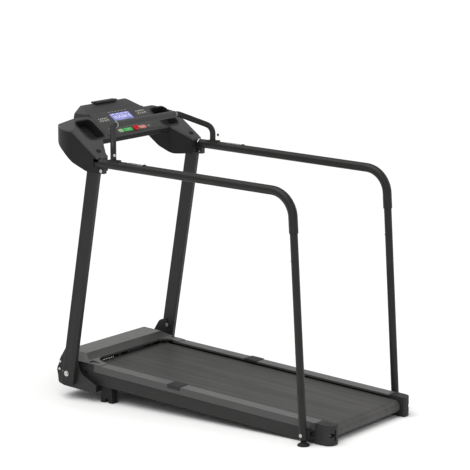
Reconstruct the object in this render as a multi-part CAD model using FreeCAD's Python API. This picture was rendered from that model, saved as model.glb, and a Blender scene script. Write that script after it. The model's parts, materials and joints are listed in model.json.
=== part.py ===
# Walking treadmill with full-length side handrails.
# Frame: X across, +Y towards the console, +Z up. The origin is on the floor,
# at the middle of the length and width. Millimetres throughout.
import FreeCAD, Part
import math
import os

V = FreeCAD.Vector
ORIGIN = V(0, 0, 0)
AXIS_X = V(1, 0, 0)
AXIS_Y = V(0, 1, 0)
AXIS_Z = V(0, 0, 1)

# ---- overall ----
REAR_Y = -716.0                 # rear faces of the end caps
FRONT_Y = 716.0                 # front wall of the console
DECK_HEIGHT = 127.0             # foot-rail top above the floor at y = 0
DECK_ANGLE = 3.6                # fixed incline of the deck, degrees
FIT = 0.2                       # slip fit between fixed pieces that nest
RUN_GAP = 0.4                   # gap between pieces that move past each other
SHAFT_GAP = 0.05                # running clearance of a shaft in its bore

# ---- deck, in its own sloping frame: u forward, w up, w = 0 on the foot rails ----
DECK_HALF = 303.0               # outer face of a foot rail
STRIP = 54.0                    # foot-rail top width
STRIP_WALL = 3.5
FLANGE = 31.0                   # foot-rail skirt height
FLANGE_WALL = 2.0
LIP = 8.0                       # inner lip of the foot rail
RAIL_W = 26.0                   # steel side rail
RAIL_DEPTH = 84.0               # its underside below the foot-rail top
RAIL_WALL = 2.0
RAIL_REAR_U = -694.0
RAIL_FRONT_U = 600.0
RAIL_CLEAR_Z = 7.0              # lowest point of the side rails above the floor
CAP_LENGTH = 78.0
CAP_PAD = 3.0                   # rubber sole under an end cap
BELT_TOP = -14.0
BELT_T = 2.0
BELT_HALF = 243.0
BOARD_T = 18.0
BOARD_HALF = 270.0
BOARD_REAR_U = -640.0
BOARD_FRONT_U = 498.0
CUSHION_T = 10.0
CROSS_H = 22.0                  # deck cross member height
CROSS_W = 36.0
CROSS_WALL = 2.0
CROSS_U = (-560.0, -180.0, 200.0, 470.0)
ROLLER_R = 25.0
ROLLER_WALL = 3.0
ROLLER_HALF = 244.0
REAR_ROLLER_U = -672.0
FRONT_ROLLER_U = 545.0
AXLE_R = 7.5
AXLE_HALF = 296.0
BEARING_W = 12.0
ADJUSTER_R = 4.0
ADJUSTER_HEAD_R = 7.0

# ---- drive, under the hood ----
ROLLER_PULLEY_R = 36.0
MOTOR_PULLEY_R = 11.0
PULLEY_INNER_X = 246.0          # pulleys run beside the belt on the right
PULLEY_W = 16.0
GROOVES = 5
MOTOR_U = 628.0
MOTOR_W = -44.0
MOTOR_R = 42.0
MOTOR_X0 = 40.0
MOTOR_X1 = 196.0
MOTOR_SHAFT_R = 6.0
FLYWHEEL_R = 38.0
FLYWHEEL_X0 = 206.0
FLYWHEEL_X1 = 240.0
DRIVE_BELT_T = 3.0

# ---- hood and belly pan ----
HOOD_FRONT_U = 686.0
HOOD_RISE = 28.0                # hood top above the foot rails
HOOD_FOLD_U = 580.0             # where the top turns down towards the belt
HOOD_EDGE_U = 541.0             # rear edge over the belt
HOOD_EDGE_RISE = 9.0
HOOD_ARM_U = 472.0              # rear ends of the hood's side arms
HOOD_TOP_HALF = 252.0
HOOD_WALL = 3.0
HOOD_CORNER_R = 50.0
POCKET_LENGTH = 62.0
RAIL_TUCK = 30.0                # length of foot rail hidden under the hood's arm
PAN_REAR_U = 522.0
PAN_DEPTH = 118.0
PAN_WALL = 3.0

# ---- base plates, crossbeam and front feet ----
PLATE_X = 324.0
PLATE_T = 6.0
BEAM_U = 500.0
BEAM_W = 40.0
BEAM_H = 32.0
WHEEL_R = 42.0
WHEEL_T = 15.0
WHEEL_Y = 650.0
WHEEL_Z = 115.0
WHEEL_BORE_R = 6.0
FOOT_Y0 = 404.0
FOOT_Y1 = 470.0
FOOT_X = 280.0
FOOT_W = 36.0
FOOT_TOP_Z = 90.0              # moulding height before it is cut to the rail

# ---- uprights ----
UPRIGHT_X0 = 330.0
UPRIGHT_T = 23.0
UPRIGHT_DEPTH = 62.0
UPRIGHT_WALL = 2.5
UPRIGHT_LEAN = 0.168            # rearward lean per unit of height
UPRIGHT_FRONT_Y = 555.0         # front face at the height below
UPRIGHT_REF_Z = 600.0
UPRIGHT_BOTTOM_Z = 68.0
UPRIGHT_TOP_Z = 1046.0

# ---- handrails ----
RAIL_X = 346.0
RAIL_R = 19.0
LEG_R = 16.0
TUBE_WALL = 2.0
RAIL_FRONT_Z = 1044.0
BEND_Y = -549.0
BEND_Z = 1015.0
BEND_R = 105.0
LEG_FOOT_Y = -611.0
LEG_JOINT_Z = 856.0             # where the upper tube sleeves over the leg
LEG_OVERLAP = 60.0
LEG_BOTTOM_Z = 24.0
LEG_BOLT_Z = 44.0
FOOT_PAD_R = 25.0
FOOT_PAD_H = 14.0
STUD_R = 5.0
BRACKET_X1 = 353.0              # outer face of the bracket under the handrail's front end

# ---- console ----
CONSOLE_HALF = 357.0
CONSOLE_CORNER_R = 150.0
CONSOLE_WALL = 3.0
SLOPE_TOP_Y = 613.0             # upper edge of the sloping face
SLOPE_TOP_Z = 1213.0
SLOPE_ANGLE = 36.7              # degrees from level
ARM_REAR_Y = 419.0
ARM_END_W = 62.0                # arm width at its rear end
CENTRE_HALF = 192.0
CENTRE_REAR_Y = 500.0
CENTRE_BOTTOM_Z = 1100.0
COVER_DEPTH = 9.0               # cover edge, down to the joint line
JOINT_GAP = 1.6
CREST_R = 18.0                  # rounding of the console's front edges
FRONT_FALL = 58.0               # how far the top drops between its upper edge and the front
COVER_ROUND = 6.0               # rounding along the long side edges of the console
COVER_EASE = 1.5                # how far that rounding starts above the sloping top
SHOULDER_X = 235.0              # the top falls away outside this
SHOULDER_FALL = 0.36
TRAY_X0 = 203.0
TRAY_X1 = 311.0
TRAY_S0 = -140.0
TRAY_S1 = -26.0
TRAY_DEPTH = 38.0
TRAY_WALL = 2.0
TRAY_RIM = 4.0
TRAY_CORNER_R = 24.0
PANEL_HALF = 184.0
PANEL_S0 = -136.0
PANEL_T = 3.0
PANEL_PROUD = 1.0
LCD_HALF = 67.0
LCD_S0 = -61.0
LCD_S1 = -17.0
LCD_T = 6.0
KEY_GAP = 0.4
KEY_TRAVEL = 1.5
KEY_H = 7.0
KEY_S0 = -130.0
KEY_S1 = -112.0
BOARD_N = -24.0                 # circuit board below the sloping face
REST_TOP_Y = 682.0
REST_TOP_Z = 1243.0
REST_HALF = 150.0

# ---- cross handlebar ----
BAR_R = 12.5
BAR_Y = 448.0
BAR_Z = 1186.0
BAR_HALF = 222.0
BAR_BEND_R = 45.0
GRIP_R = 16.0
GRIP_INSET = 20.0               # the sleeve stops where the bar starts to bend
POST_Y = 348.0
POST_ELBOW_Z = 1122.0


# ---------------------------------------------------------------- helpers
def box(x0, x1, y0, y1, z0, z1):
    return Part.makeBox(x1 - x0, y1 - y0, z1 - z0, V(x0, y0, z0))


def rodX(radius, x0, x1, y, z):
    return Part.makeCylinder(radius, x1 - x0, V(x0, y, z), AXIS_X)


def tubeX(outer, inner, x0, x1, y, z):
    return rodX(outer, x0, x1, y, z).cut(rodX(inner, x0, x1, y, z))


def mirrored(shape):
    return shape.mirror(ORIGIN, AXIS_X)


def fused(shapes):
    result = shapes[0].multiFuse(shapes[1:]) if len(shapes) > 1 else shapes[0]
    return result.removeSplitter()


def group(shapes):
    return Part.makeCompound(shapes)


def corner(previous, point, following, radius):
    """Start, middle and end of the arc that rounds one corner of an outline."""
    back = (previous - point).normalize()
    ahead = (following - point).normalize()
    half = back.getAngle(ahead) / 2
    reach = radius / math.tan(half)
    middle = (back + ahead).normalize()
    centre = point + middle * (radius / math.sin(half))
    return point + back * reach, centre - middle * radius, point + ahead * reach


def outline(points, radii, closed=True):
    """Wire of straight edges and tangent arcs; a radius of 0 keeps a corner sharp."""
    count = len(points)
    edges = []
    cursor = None
    first = None
    for index, point in enumerate(points):
        if radii[index] > 0:
            start, middle, end = corner(points[index - 1], point, points[(index + 1) % count], radii[index])
        else:
            start, middle, end = point, None, point
        if cursor is not None and cursor.distanceToPoint(start) > 1e-6:
            edges.append(Part.LineSegment(cursor, start).toShape())
        if middle is not None:
            edges.append(Part.Arc(start, middle, end).toShape())
        first = start if first is None else first
        cursor = end
    if closed and cursor.distanceToPoint(first) > 1e-6:
        edges.append(Part.LineSegment(cursor, first).toShape())
    return Part.Wire(edges)


def sideSolid(points, radii, x0, x1):
    """Outline in the Y-Z plane, drawn out across X."""
    wire = outline([V(x0, y, z) for y, z in points], radii)
    return Part.Face(wire).extrude(V(x1 - x0, 0, 0))


def planSolid(points, radii, z0, z1):
    """Outline in the X-Y plane, drawn up along Z."""
    wire = outline([V(x, y, z0) for x, y in points], radii)
    return Part.Face(wire).extrude(V(0, 0, z1 - z0))


def pipe(points, radii, radius):
    """Round bar along straight runs joined by tangent arcs."""
    path = outline(points, radii, closed=False)
    start = points[0]
    heading = points[1] - points[0]
    profile = Part.Wire([Part.makeCircle(radius, start, heading)])
    return path.makePipeShell([profile], True, False)


def tubeAlong(points, radii, radius, wall):
    return pipe(points, radii, radius).cut(pipe(points, radii, radius - wall))


def onDeck(shape):
    placed = shape.copy()
    placed.rotate(ORIGIN, AXIS_X, DECK_ANGLE)
    placed.translate(V(0, 0, DECK_HEIGHT))
    return placed


def deckPoint(u, w):
    angle = math.radians(DECK_ANGLE)
    y = u * math.cos(angle) - w * math.sin(angle)
    z = u * math.sin(angle) + w * math.cos(angle) + DECK_HEIGHT
    return y, z


def onSlope(shape):
    """From the sloping face's frame: y up the slope, z out of it."""
    placed = shape.copy()
    placed.rotate(ORIGIN, AXIS_X, SLOPE_ANGLE)
    placed.translate(V(0, SLOPE_TOP_Y, SLOPE_TOP_Z))
    return placed


def slopePoint(s, n=0.0):
    angle = math.radians(SLOPE_ANGLE)
    y = SLOPE_TOP_Y + s * math.cos(angle) - n * math.sin(angle)
    z = SLOPE_TOP_Z + s * math.sin(angle) + n * math.cos(angle)
    return y, z


def slopeZ(y):
    return SLOPE_TOP_Z - (SLOPE_TOP_Y - y) * math.tan(math.radians(SLOPE_ANGLE))


def uprightFrontY(z):
    return UPRIGHT_FRONT_Y - UPRIGHT_LEAN * (z - UPRIGHT_REF_Z)


def roundedPlate(x0, x1, s0, s1, n0, n1, radius):
    points = [(x0, s0), (x1, s0), (x1, s1), (x0, s1)]
    return planSolid(points, [radius] * 4, n0, n1)


parts = {}


def keep(name, shape):
    parts[name] = shape


# ---------------------------------------------------------------- deck
railX0 = DECK_HALF - FLANGE_WALL - RAIL_W
railX1 = DECK_HALF - FLANGE_WALL
railTop = -STRIP_WALL
boardTop = BELT_TOP - BELT_T
boardBottom = boardTop - BOARD_T
crossTop = boardBottom - CUSHION_T
rollerW = BELT_TOP - BELT_T - RUN_GAP - ROLLER_R
capFrontU = REAR_Y + CAP_LENGTH
rearAxleY, rearAxleZ = deckPoint(REAR_ROLLER_U, rollerW)
frontAxleY, frontAxleZ = deckPoint(FRONT_ROLLER_U, rollerW)


def deckRail():
    shape = box(railX0, railX1, RAIL_REAR_U, RAIL_FRONT_U, -RAIL_DEPTH, railTop)
    shape = shape.cut(box(railX0 + RAIL_WALL, railX1 - RAIL_WALL, RAIL_REAR_U - 1, RAIL_FRONT_U + 1,
                          -RAIL_DEPTH + RAIL_WALL, railTop - RAIL_WALL))
    # a slot for the adjustable rear axle, a round hole for the front one
    slot = fused([rodX(AXLE_R + FIT, railX0 - 1, railX1 + 1, REAR_ROLLER_U + offset, rollerW)
                  for offset in (-6, 6)]
                 + [box(railX0 - 1, railX1 + 1, REAR_ROLLER_U - 6, REAR_ROLLER_U + 6,
                        rollerW - AXLE_R - FIT, rollerW + AXLE_R + FIT)])
    front = rodX(AXLE_R + FIT, railX0 - 1, railX1 + 1, FRONT_ROLLER_U, rollerW)
    shape = onDeck(shape.cut(slot).cut(front))
    # the underside is cut level at the rear, clear of the floor
    return shape.cut(box(railX0 - 1, railX1 + 1, REAR_Y, 0, -20, RAIL_CLEAR_Z))


def footRail():
    stripX0 = DECK_HALF - STRIP
    rear = capFrontU + FIT
    front = HOOD_ARM_U + RAIL_TUCK
    top = box(stripX0, DECK_HALF, rear, front, -STRIP_WALL, 0)
    skirt = box(railX1, DECK_HALF, rear, front, -FLANGE, -STRIP_WALL)
    lip = box(stripX0, stripX0 + 2, rear, front, -LIP, -STRIP_WALL)
    shape = fused([top, skirt, lip])
    edge = [e for e in shape.Edges if e.BoundBox.XLength < 0.01 and e.BoundBox.ZLength < 0.01
            and abs(e.BoundBox.XMin - DECK_HALF) < 0.01 and abs(e.BoundBox.ZMin) < 0.01]
    return shape.makeFillet(1.6, edge)


def railClip():
    # moulded clip that snaps over the foot rail
    y0, y1 = 42.0, 106.0
    stripX0 = DECK_HALF - STRIP
    over = box(stripX0 - 2, DECK_HALF + 2, y0, y1, 0, 2.5)
    outer = box(DECK_HALF, DECK_HALF + 2, y0, y1, -14, 0)
    inner = box(stripX0 - 2, stripX0, y0, y1, -LIP, 0)
    return fused([over, outer, inner])


def crossMembers():
    solids = []
    for u in CROSS_U:
        tube = box(-railX0, railX0, u - CROSS_W / 2, u + CROSS_W / 2, crossTop - CROSS_H, crossTop)
        bore = box(-railX0 - 1, railX0 + 1, u - CROSS_W / 2 + CROSS_WALL, u + CROSS_W / 2 - CROSS_WALL,
                   crossTop - CROSS_H + CROSS_WALL, crossTop - CROSS_WALL)
        solids.append(tube.cut(bore))
    return group(solids)


def deckCushions():
    solids = []
    for u in CROSS_U:
        for x in (-220.0, 220.0):
            solids.append(Part.makeCylinder(16, CUSHION_T, V(x, u, crossTop)))
    return group(solids)


def loopSolid(points, thickness, x0, x1):
    """Flat belt: the hull of two wheels, given as (y, z, radius), less its inside."""
    (yA, zA, rA), (yB, zB, rB) = points
    distance = math.hypot(yB - yA, zB - zA)
    heading = math.atan2(zB - zA, yB - yA)
    swing = math.acos((rA - rB) / distance)

    def ring(grow):
        a, b = rA + grow, rB + grow

        def at(y, z, r, angle):
            return V(x0, y + r * math.cos(angle), z + r * math.sin(angle))
        up, down = heading + swing, heading - swing
        edges = [Part.LineSegment(at(yA, zA, a, up), at(yB, zB, b, up)).toShape(),
                 Part.Arc(at(yB, zB, b, up), at(yB, zB, b, heading), at(yB, zB, b, down)).toShape(),
                 Part.LineSegment(at(yB, zB, b, down), at(yA, zA, a, down)).toShape(),
                 Part.Arc(at(yA, zA, a, down), at(yA, zA, a, heading + math.pi), at(yA, zA, a, up)).toShape()]
        return Part.Face(Part.Wire(edges)).extrude(V(x1 - x0, 0, 0))
    return ring(thickness).cut(ring(0))


def runningBelt():
    inner = ROLLER_R + RUN_GAP
    return loopSolid([(REAR_ROLLER_U, rollerW, inner), (FRONT_ROLLER_U, rollerW, inner)],
                     BELT_T, -BELT_HALF, BELT_HALF)


def roller(u):
    body = tubeX(ROLLER_R, ROLLER_R - ROLLER_WALL, -ROLLER_HALF, ROLLER_HALF, u, rollerW)
    return body


def bearings(u):
    solids = []
    for x0 in (-ROLLER_HALF, ROLLER_HALF - BEARING_W):
        solids.append(tubeX(ROLLER_R - ROLLER_WALL, AXLE_R + SHAFT_GAP, x0, x0 + BEARING_W, u, rollerW))
    return group(solids)


def axle(u):
    return rodX(AXLE_R, -AXLE_HALF, AXLE_HALF, u, rollerW)


def endCap():
    """Moulded end cap over the rear of a side rail, drawn in world axes."""
    inner = DECK_HALF - STRIP
    outer = DECK_HALF + 1
    topRear = deckPoint(REAR_Y, 0)[1]
    topFront = deckPoint(capFrontU, 0)[1]
    profile = [(REAR_Y, CAP_PAD), (capFrontU, CAP_PAD), (capFrontU, topFront + 1), (REAR_Y, topRear + 1)]
    body = sideSolid(profile, [3, 0, 0, 4], inner, outer)
    plan = planSolid([(inner, REAR_Y), (outer, REAR_Y), (outer, capFrontU), (inner, capFrontU)],
                     [10, 34, 0, 0], 0, 140)
    body = body.common(plan)
    socket = onDeck(box(railX0 - FIT, railX1 + FIT, RAIL_REAR_U - FIT, capFrontU + 5,
                        -RAIL_DEPTH - FIT, railTop + FIT))
    axleHole = rodX(AXLE_R + 1.5, inner - 1, railX0 + 1, rearAxleY, rearAxleZ)
    slot = box(inner + 22, inner + 30, REAR_Y - 1, REAR_Y + 14, CAP_PAD + 18, topRear - 18)
    access = Part.makeCylinder(ADJUSTER_HEAD_R + 2.5, 40, V((railX0 + railX1) / 2, REAR_Y - 1, rearAxleZ), AXIS_Y)
    return body.cut(socket).cut(axleHole).cut(slot).cut(access)


def capPad():
    inner = DECK_HALF - STRIP + 6
    outer = DECK_HALF - 5
    return planSolid([(inner, REAR_Y + 8), (outer, REAR_Y + 8), (outer, capFrontU - 6), (inner, capFrontU - 6)],
                     [6, 26, 4, 4], 0, CAP_PAD)


def axleAdjuster():
    # long screw that pulls the rear axle back against its bracket
    x = (railX0 + railX1) / 2
    shank = Part.makeCylinder(ADJUSTER_R, 14, V(x, RAIL_REAR_U - 4, rollerW), AXIS_Y)
    head = Part.makeCylinder(ADJUSTER_HEAD_R, 5, V(x, RAIL_REAR_U - 9, rollerW), AXIS_Y)
    socket = Part.makeCylinder(3, 3, V(x, RAIL_REAR_U - 9, rollerW), AXIS_Y)
    plate = box(railX0 + RAIL_WALL, railX1 - RAIL_WALL, RAIL_REAR_U, RAIL_REAR_U + 4, rollerW - 14, rollerW + 14)
    return fused([shank, head, plate]).cut(socket)


keep("deck_rail_right", deckRail())
keep("deck_rail_left", mirrored(deckRail()))
keep("deck_crossmembers", onDeck(crossMembers()))
keep("deck_cushions", onDeck(deckCushions()))
keep("running_board", onDeck(box(-BOARD_HALF, BOARD_HALF, BOARD_REAR_U, BOARD_FRONT_U, boardBottom, boardTop)))
keep("running_belt", onDeck(runningBelt()))
keep("foot_rail_right", onDeck(footRail()))
keep("foot_rail_left", onDeck(mirrored(footRail())))
keep("rail_clips", onDeck(group([railClip(), mirrored(railClip())])))
keep("end_cap_right", endCap())
keep("end_cap_left", mirrored(endCap()))
keep("roller_axles", onDeck(group([axle(REAR_ROLLER_U), axle(FRONT_ROLLER_U)])))
keep("belt_adjusters", onDeck(group([axleAdjuster(), mirrored(axleAdjuster())])))
keep("rear_roller", onDeck(roller(REAR_ROLLER_U)))
keep("rear_bearings", onDeck(bearings(REAR_ROLLER_U)))
keep("front_roller", onDeck(roller(FRONT_ROLLER_U)))
keep("front_bearings", onDeck(bearings(FRONT_ROLLER_U)))


# ---------------------------------------------------------------- drive
def grooved(radius, x0, width, y, z):
    """Poly-V rim: a cylinder with shallow grooves."""
    body = rodX(radius, x0, x0 + width, y, z)
    pitch = width / (GROOVES + 1)
    for index in range(GROOVES):
        x = x0 + pitch * (index + 1)
        body = body.cut(tubeX(radius + 1, radius - 1, x - 0.5, x + 0.5, y, z))
    return body


def rollerPulley():
    body = grooved(ROLLER_PULLEY_R, PULLEY_INNER_X, PULLEY_W, FRONT_ROLLER_U, rollerW)
    hub = rodX(ROLLER_R - ROLLER_WALL, ROLLER_HALF, PULLEY_INNER_X, FRONT_ROLLER_U, rollerW)
    bore = rodX(AXLE_R + 1, ROLLER_HALF - 1, PULLEY_INNER_X + PULLEY_W + 1, FRONT_ROLLER_U, rollerW)
    return fused([body, hub]).cut(bore)


def motorHousing():
    wall = 4.0
    can = rodX(MOTOR_R, MOTOR_X0, MOTOR_X1, MOTOR_U, MOTOR_W)
    room = rodX(MOTOR_R - wall, MOTOR_X0 + wall, MOTOR_X1 - wall, MOTOR_U, MOTOR_W)
    bore = rodX(MOTOR_SHAFT_R + SHAFT_GAP, MOTOR_X0 - 1, MOTOR_X1 + 1, MOTOR_U, MOTOR_W)
    return can.cut(room).cut(bore)


def motorRotor():
    shaft = rodX(MOTOR_SHAFT_R, MOTOR_X0 - 8, PULLEY_INNER_X + PULLEY_W, MOTOR_U, MOTOR_W)
    armature = rodX(MOTOR_R - 8, MOTOR_X0 + 24, MOTOR_X1 - 24, MOTOR_U, MOTOR_W)
    return fused([shaft, armature])


def flywheel():
    rim = rodX(FLYWHEEL_R, FLYWHEEL_X0, FLYWHEEL_X1, MOTOR_U, MOTOR_W)
    for x0 in (FLYWHEEL_X0, FLYWHEEL_X1 - 8):
        rim = rim.cut(tubeX(FLYWHEEL_R - 8, 14, x0, x0 + 8, MOTOR_U, MOTOR_W))
    pulley = grooved(MOTOR_PULLEY_R, FLYWHEEL_X1, PULLEY_INNER_X + PULLEY_W - FLYWHEEL_X1, MOTOR_U, MOTOR_W)
    bore = rodX(MOTOR_SHAFT_R, FLYWHEEL_X0 - 1, PULLEY_INNER_X + PULLEY_W + 1, MOTOR_U, MOTOR_W)
    return fused([rim, pulley]).cut(bore)


def motorMount():
    # cradle between the belly pan and the motor, hugging its lower half
    top = MOTOR_W - 14
    bottom = -PAN_DEPTH + PAN_WALL
    cradles = []
    for x0 in (MOTOR_X0 + 14, MOTOR_X1 - 38):
        block = box(x0, x0 + 24, MOTOR_U - MOTOR_R - 3, MOTOR_U + MOTOR_R + 3, bottom, top)
        cradles.append(block)
    base = box(MOTOR_X0 + 14, MOTOR_X1 - 14, MOTOR_U - MOTOR_R - 3, MOTOR_U + MOTOR_R + 3, bottom, bottom + 4)
    motor = rodX(MOTOR_R, MOTOR_X0, MOTOR_X1, MOTOR_U, MOTOR_W)
    return fused(cradles + [base]).cut(motor)


def driveBelt():
    x0 = PULLEY_INNER_X + 1
    return loopSolid([(FRONT_ROLLER_U, rollerW, ROLLER_PULLEY_R + RUN_GAP),
                      (MOTOR_U, MOTOR_W, MOTOR_PULLEY_R + RUN_GAP)], DRIVE_BELT_T, x0, x0 + PULLEY_W - 2)


def motorController():
    bottom = -PAN_DEPTH + PAN_WALL
    base = box(-190, -60, MOTOR_U - 38, MOTOR_U + 40, bottom, bottom + 6)
    board = box(-186, -64, MOTOR_U - 34, MOTOR_U + 36, bottom + 6, bottom + 8)
    fins = [box(-184 + 9 * i, -180 + 9 * i, MOTOR_U - 20, MOTOR_U + 22, bottom + 8, bottom + 34) for i in range(6)]
    cans = [Part.makeCylinder(11, 36, V(-110, MOTOR_U - 12 + 26 * i, bottom + 8)) for i in range(2)]
    coil = Part.makeCylinder(14, 20, V(-82, MOTOR_U, bottom + 8))
    return fused([base, board] + fins + cans + [coil])


keep("roller_pulley", onDeck(rollerPulley()))
keep("motor_housing", onDeck(motorHousing()))
keep("motor_rotor", onDeck(motorRotor()))
keep("flywheel", onDeck(flywheel()))
keep("motor_mount", onDeck(motorMount()))
keep("drive_belt", onDeck(driveBelt()))
keep("motor_controller", onDeck(motorController()))


# ---------------------------------------------------------------- hood and pan
INLET_X = -215.0                # power inlet and switch in the front wall of the pan
INLET_W = -92.0
INLET_SIZE = (28.0, 20.0)
SWITCH_X = -160.0
SWITCH_SIZE = (14.0, 20.0)
PIVOT_R = 1.5
PIVOT_DEPTH = 4.0               # rocker pivot behind the pan's front wall
SWITCH_SWING = 14.0             # rocker travel from off to on, degrees


def hoodBody(inset):
    """Outer form of the hood, or its inside when inset by the wall."""
    top = HOOD_RISE - inset
    front = HOOD_FRONT_U - inset
    half = DECK_HALF - inset
    topHalf = HOOD_TOP_HALF - inset
    fold = HOOD_FOLD_U - inset * 0.3
    edge = HOOD_EDGE_U - inset
    profile = [(edge - 200, 0), (front, 0), (front, top), (fold, top), (edge, HOOD_EDGE_RISE - inset),
               (edge - 200, HOOD_EDGE_RISE - inset)]
    side = sideSolid(profile, [0, 0, 14, 10, 0, 0], -half, half)
    # the ends slope in from the foot rails up to the flat top
    section = [V(-half, edge - 200, 0), V(half, edge - 200, 0), V(topHalf + 6, edge - 200, top + 2),
               V(-topHalf - 6, edge - 200, top + 2)]
    ends = Part.Face(outline(section, [0, 0, 10, 10])).extrude(V(0, 500, 0))
    return side.common(ends)


def motorHood():
    outer = hoodBody(0)
    inner = hoodBody(HOOD_WALL)
    shell = outer.cut(inner.common(box(-400, 400, HOOD_EDGE_U + HOOD_WALL, 800, -1, 100)))
    # keep only the cap and its two thin side arms beside the belt
    inside = DECK_HALF - STRIP
    opening = planSolid([(-inside, 100), (inside, 100), (inside, HOOD_EDGE_U), (-inside, HOOD_EDGE_U)],
                        [0, 0, HOOD_CORNER_R, HOOD_CORNER_R], -1, 60)
    shell = shell.cut(opening)
    shell = shell.cut(box(-400, 400, 100, HOOD_ARM_U, -1, 60))
    # arms taper down to the foot rails at their rear ends
    wedge = sideSolid([(HOOD_ARM_U - 1, 2), (HOOD_ARM_U + 60, HOOD_EDGE_RISE), (HOOD_ARM_U + 60, 40),
                       (HOOD_ARM_U - 1, 40)], [0] * 4, -400, 400)
    shell = shell.cut(wedge)
    # small moulded pocket on each arm
    for side in (1, -1):
        x0, x1 = sorted((side * 272, side * 298))
        shell = shell.cut(planSolid([(x0, HOOD_ARM_U + 18), (x1, HOOD_ARM_U + 18),
                                     (x1, HOOD_ARM_U + POCKET_LENGTH - 2), (x0, HOOD_ARM_U + POCKET_LENGTH - 2)],
                                    [6] * 4, 2.2, 60))
    # front wall down to the pan, and the closing walls behind the top
    apron = box(-DECK_HALF, DECK_HALF, HOOD_FRONT_U - HOOD_WALL, HOOD_FRONT_U, -24, 4)
    cheeks = [box(x0, x0 + HOOD_WALL, RAIL_FRONT_U + 1, HOOD_FRONT_U, -24, 2)
              for x0 in (-DECK_HALF, DECK_HALF - HOOD_WALL)]
    return fused([shell, apron] + cheeks)


def bellyPan():
    outer = box(-railX1, railX1, PAN_REAR_U, HOOD_FRONT_U - HOOD_WALL, -PAN_DEPTH, -RAIL_DEPTH)
    inner = box(-railX1 + PAN_WALL, railX1 - PAN_WALL, PAN_REAR_U + PAN_WALL,
                HOOD_FRONT_U - HOOD_WALL - PAN_WALL, -PAN_DEPTH + PAN_WALL, -RAIL_DEPTH + 1)
    tub = outer.cut(inner)
    wallHalf = DECK_HALF - HOOD_WALL - FIT
    wall = box(-wallHalf, wallHalf, HOOD_FRONT_U - HOOD_WALL - PAN_WALL, HOOD_FRONT_U - HOOD_WALL, -RAIL_DEPTH, -4)
    ears = [box(x0, x0 + PAN_WALL, RAIL_FRONT_U + 1, HOOD_FRONT_U - HOOD_WALL - PAN_WALL, -RAIL_DEPTH, -24)
            for x0 in (-railX1, railX1 - PAN_WALL)]
    slots = [box(-20 + 12 * i, -14 + 12 * i, HOOD_FRONT_U - 20, HOOD_FRONT_U, -100, -70) for i in range(14)]
    pan = fused([tub, wall] + ears)
    for slot in slots:
        pan = pan.cut(slot)
    for x, size in ((INLET_X, INLET_SIZE), (SWITCH_X, SWITCH_SIZE)):
        pan = pan.cut(box(x - size[0] / 2, x + size[0] / 2, HOOD_FRONT_U - 30, HOOD_FRONT_U + 1,
                          INLET_W - size[1] / 2, INLET_W + size[1] / 2))
    return pan


def powerInlet():
    face = HOOD_FRONT_U - HOOD_WALL
    width, height = INLET_SIZE
    flange = box(INLET_X - width / 2 - 5, INLET_X + width / 2 + 5, face, face + 2,
                 INLET_W - height / 2 - 3, INLET_W + height / 2 + 3)
    body = box(INLET_X - width / 2 + FIT, INLET_X + width / 2 - FIT, face - 26, face,
               INLET_W - height / 2 + FIT, INLET_W + height / 2 - FIT)
    socket = box(INLET_X - 11, INLET_X + 11, face - 16, face + 3, INLET_W - 7, INLET_W + 7)
    shape = fused([flange, body]).cut(socket)
    pins = [box(INLET_X + dx - 1, INLET_X + dx + 1, face - 18, face - 4, INLET_W + dz - 2, INLET_W + dz + 2)
            for dx, dz in ((-6, -2), (0, 3), (6, -2))]
    return fused([shape] + pins)


def switchFrame():
    face = HOOD_FRONT_U - HOOD_WALL
    width, height = SWITCH_SIZE
    outer = box(SWITCH_X - width / 2 + FIT, SWITCH_X + width / 2 - FIT, face - 14, face,
                INLET_W - height / 2 + FIT, INLET_W + height / 2 - FIT)
    flange = box(SWITCH_X - width / 2 - 3, SWITCH_X + width / 2 + 3, face, face + 2,
                 INLET_W - height / 2 - 3, INLET_W + height / 2 + 3)
    room = box(SWITCH_X - width / 2 + 2, SWITCH_X + width / 2 - 2, face - 12, face + 3,
               INLET_W - height / 2 + 2, INLET_W + height / 2 - 2)
    holes = rodX(PIVOT_R + SHAFT_GAP, SWITCH_X - width / 2, SWITCH_X + width / 2, face - PIVOT_DEPTH, INLET_W)
    return fused([outer, flange]).cut(room).cut(holes)


def rockerSwitch():
    face = HOOD_FRONT_U - HOOD_WALL
    width, height = SWITCH_SIZE
    reach = height / 2 - 3.6
    back = face - PIVOT_DEPTH - 2
    profile = [(back, INLET_W - reach), (face + 2.6, INLET_W - reach), (face + 1.4, INLET_W),
               (face + 2.6, INLET_W + reach), (back, INLET_W + reach)]
    rocker = sideSolid(profile, [0] * 5, SWITCH_X - width / 2 + 2.5, SWITCH_X + width / 2 - 2.5)
    rocker.rotate(V(0, face - PIVOT_DEPTH, INLET_W), AXIS_X, -SWITCH_SWING / 2)
    pivot = rodX(PIVOT_R, SWITCH_X - width / 2 + 1, SWITCH_X + width / 2 - 1, face - PIVOT_DEPTH, INLET_W)
    return fused([rocker, pivot])


keep("motor_hood", onDeck(motorHood()))
keep("belly_pan", onDeck(bellyPan()))
keep("power_inlet", onDeck(group([powerInlet(), switchFrame()])))
keep("power_switch", onDeck(rockerSwitch()))


# ---------------------------------------------------------------- base, uprights, wheels
def basePlate():
    points = [(470, 42), (646, 54), (676, 64), (682, 118), (668, 168), (634, 222), (596, 236),
              (556, 120), (470, 78)]
    radii = [6, 20, 12, 40, 60, 30, 8, 60, 6]
    shape = sideSolid(points, radii, PLATE_X, PLATE_X + PLATE_T)
    wheel = rodX(WHEEL_BORE_R, PLATE_X - 1, PLATE_X + PLATE_T + 1, WHEEL_Y, WHEEL_Z)
    return shape.cut(wheel)


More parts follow.
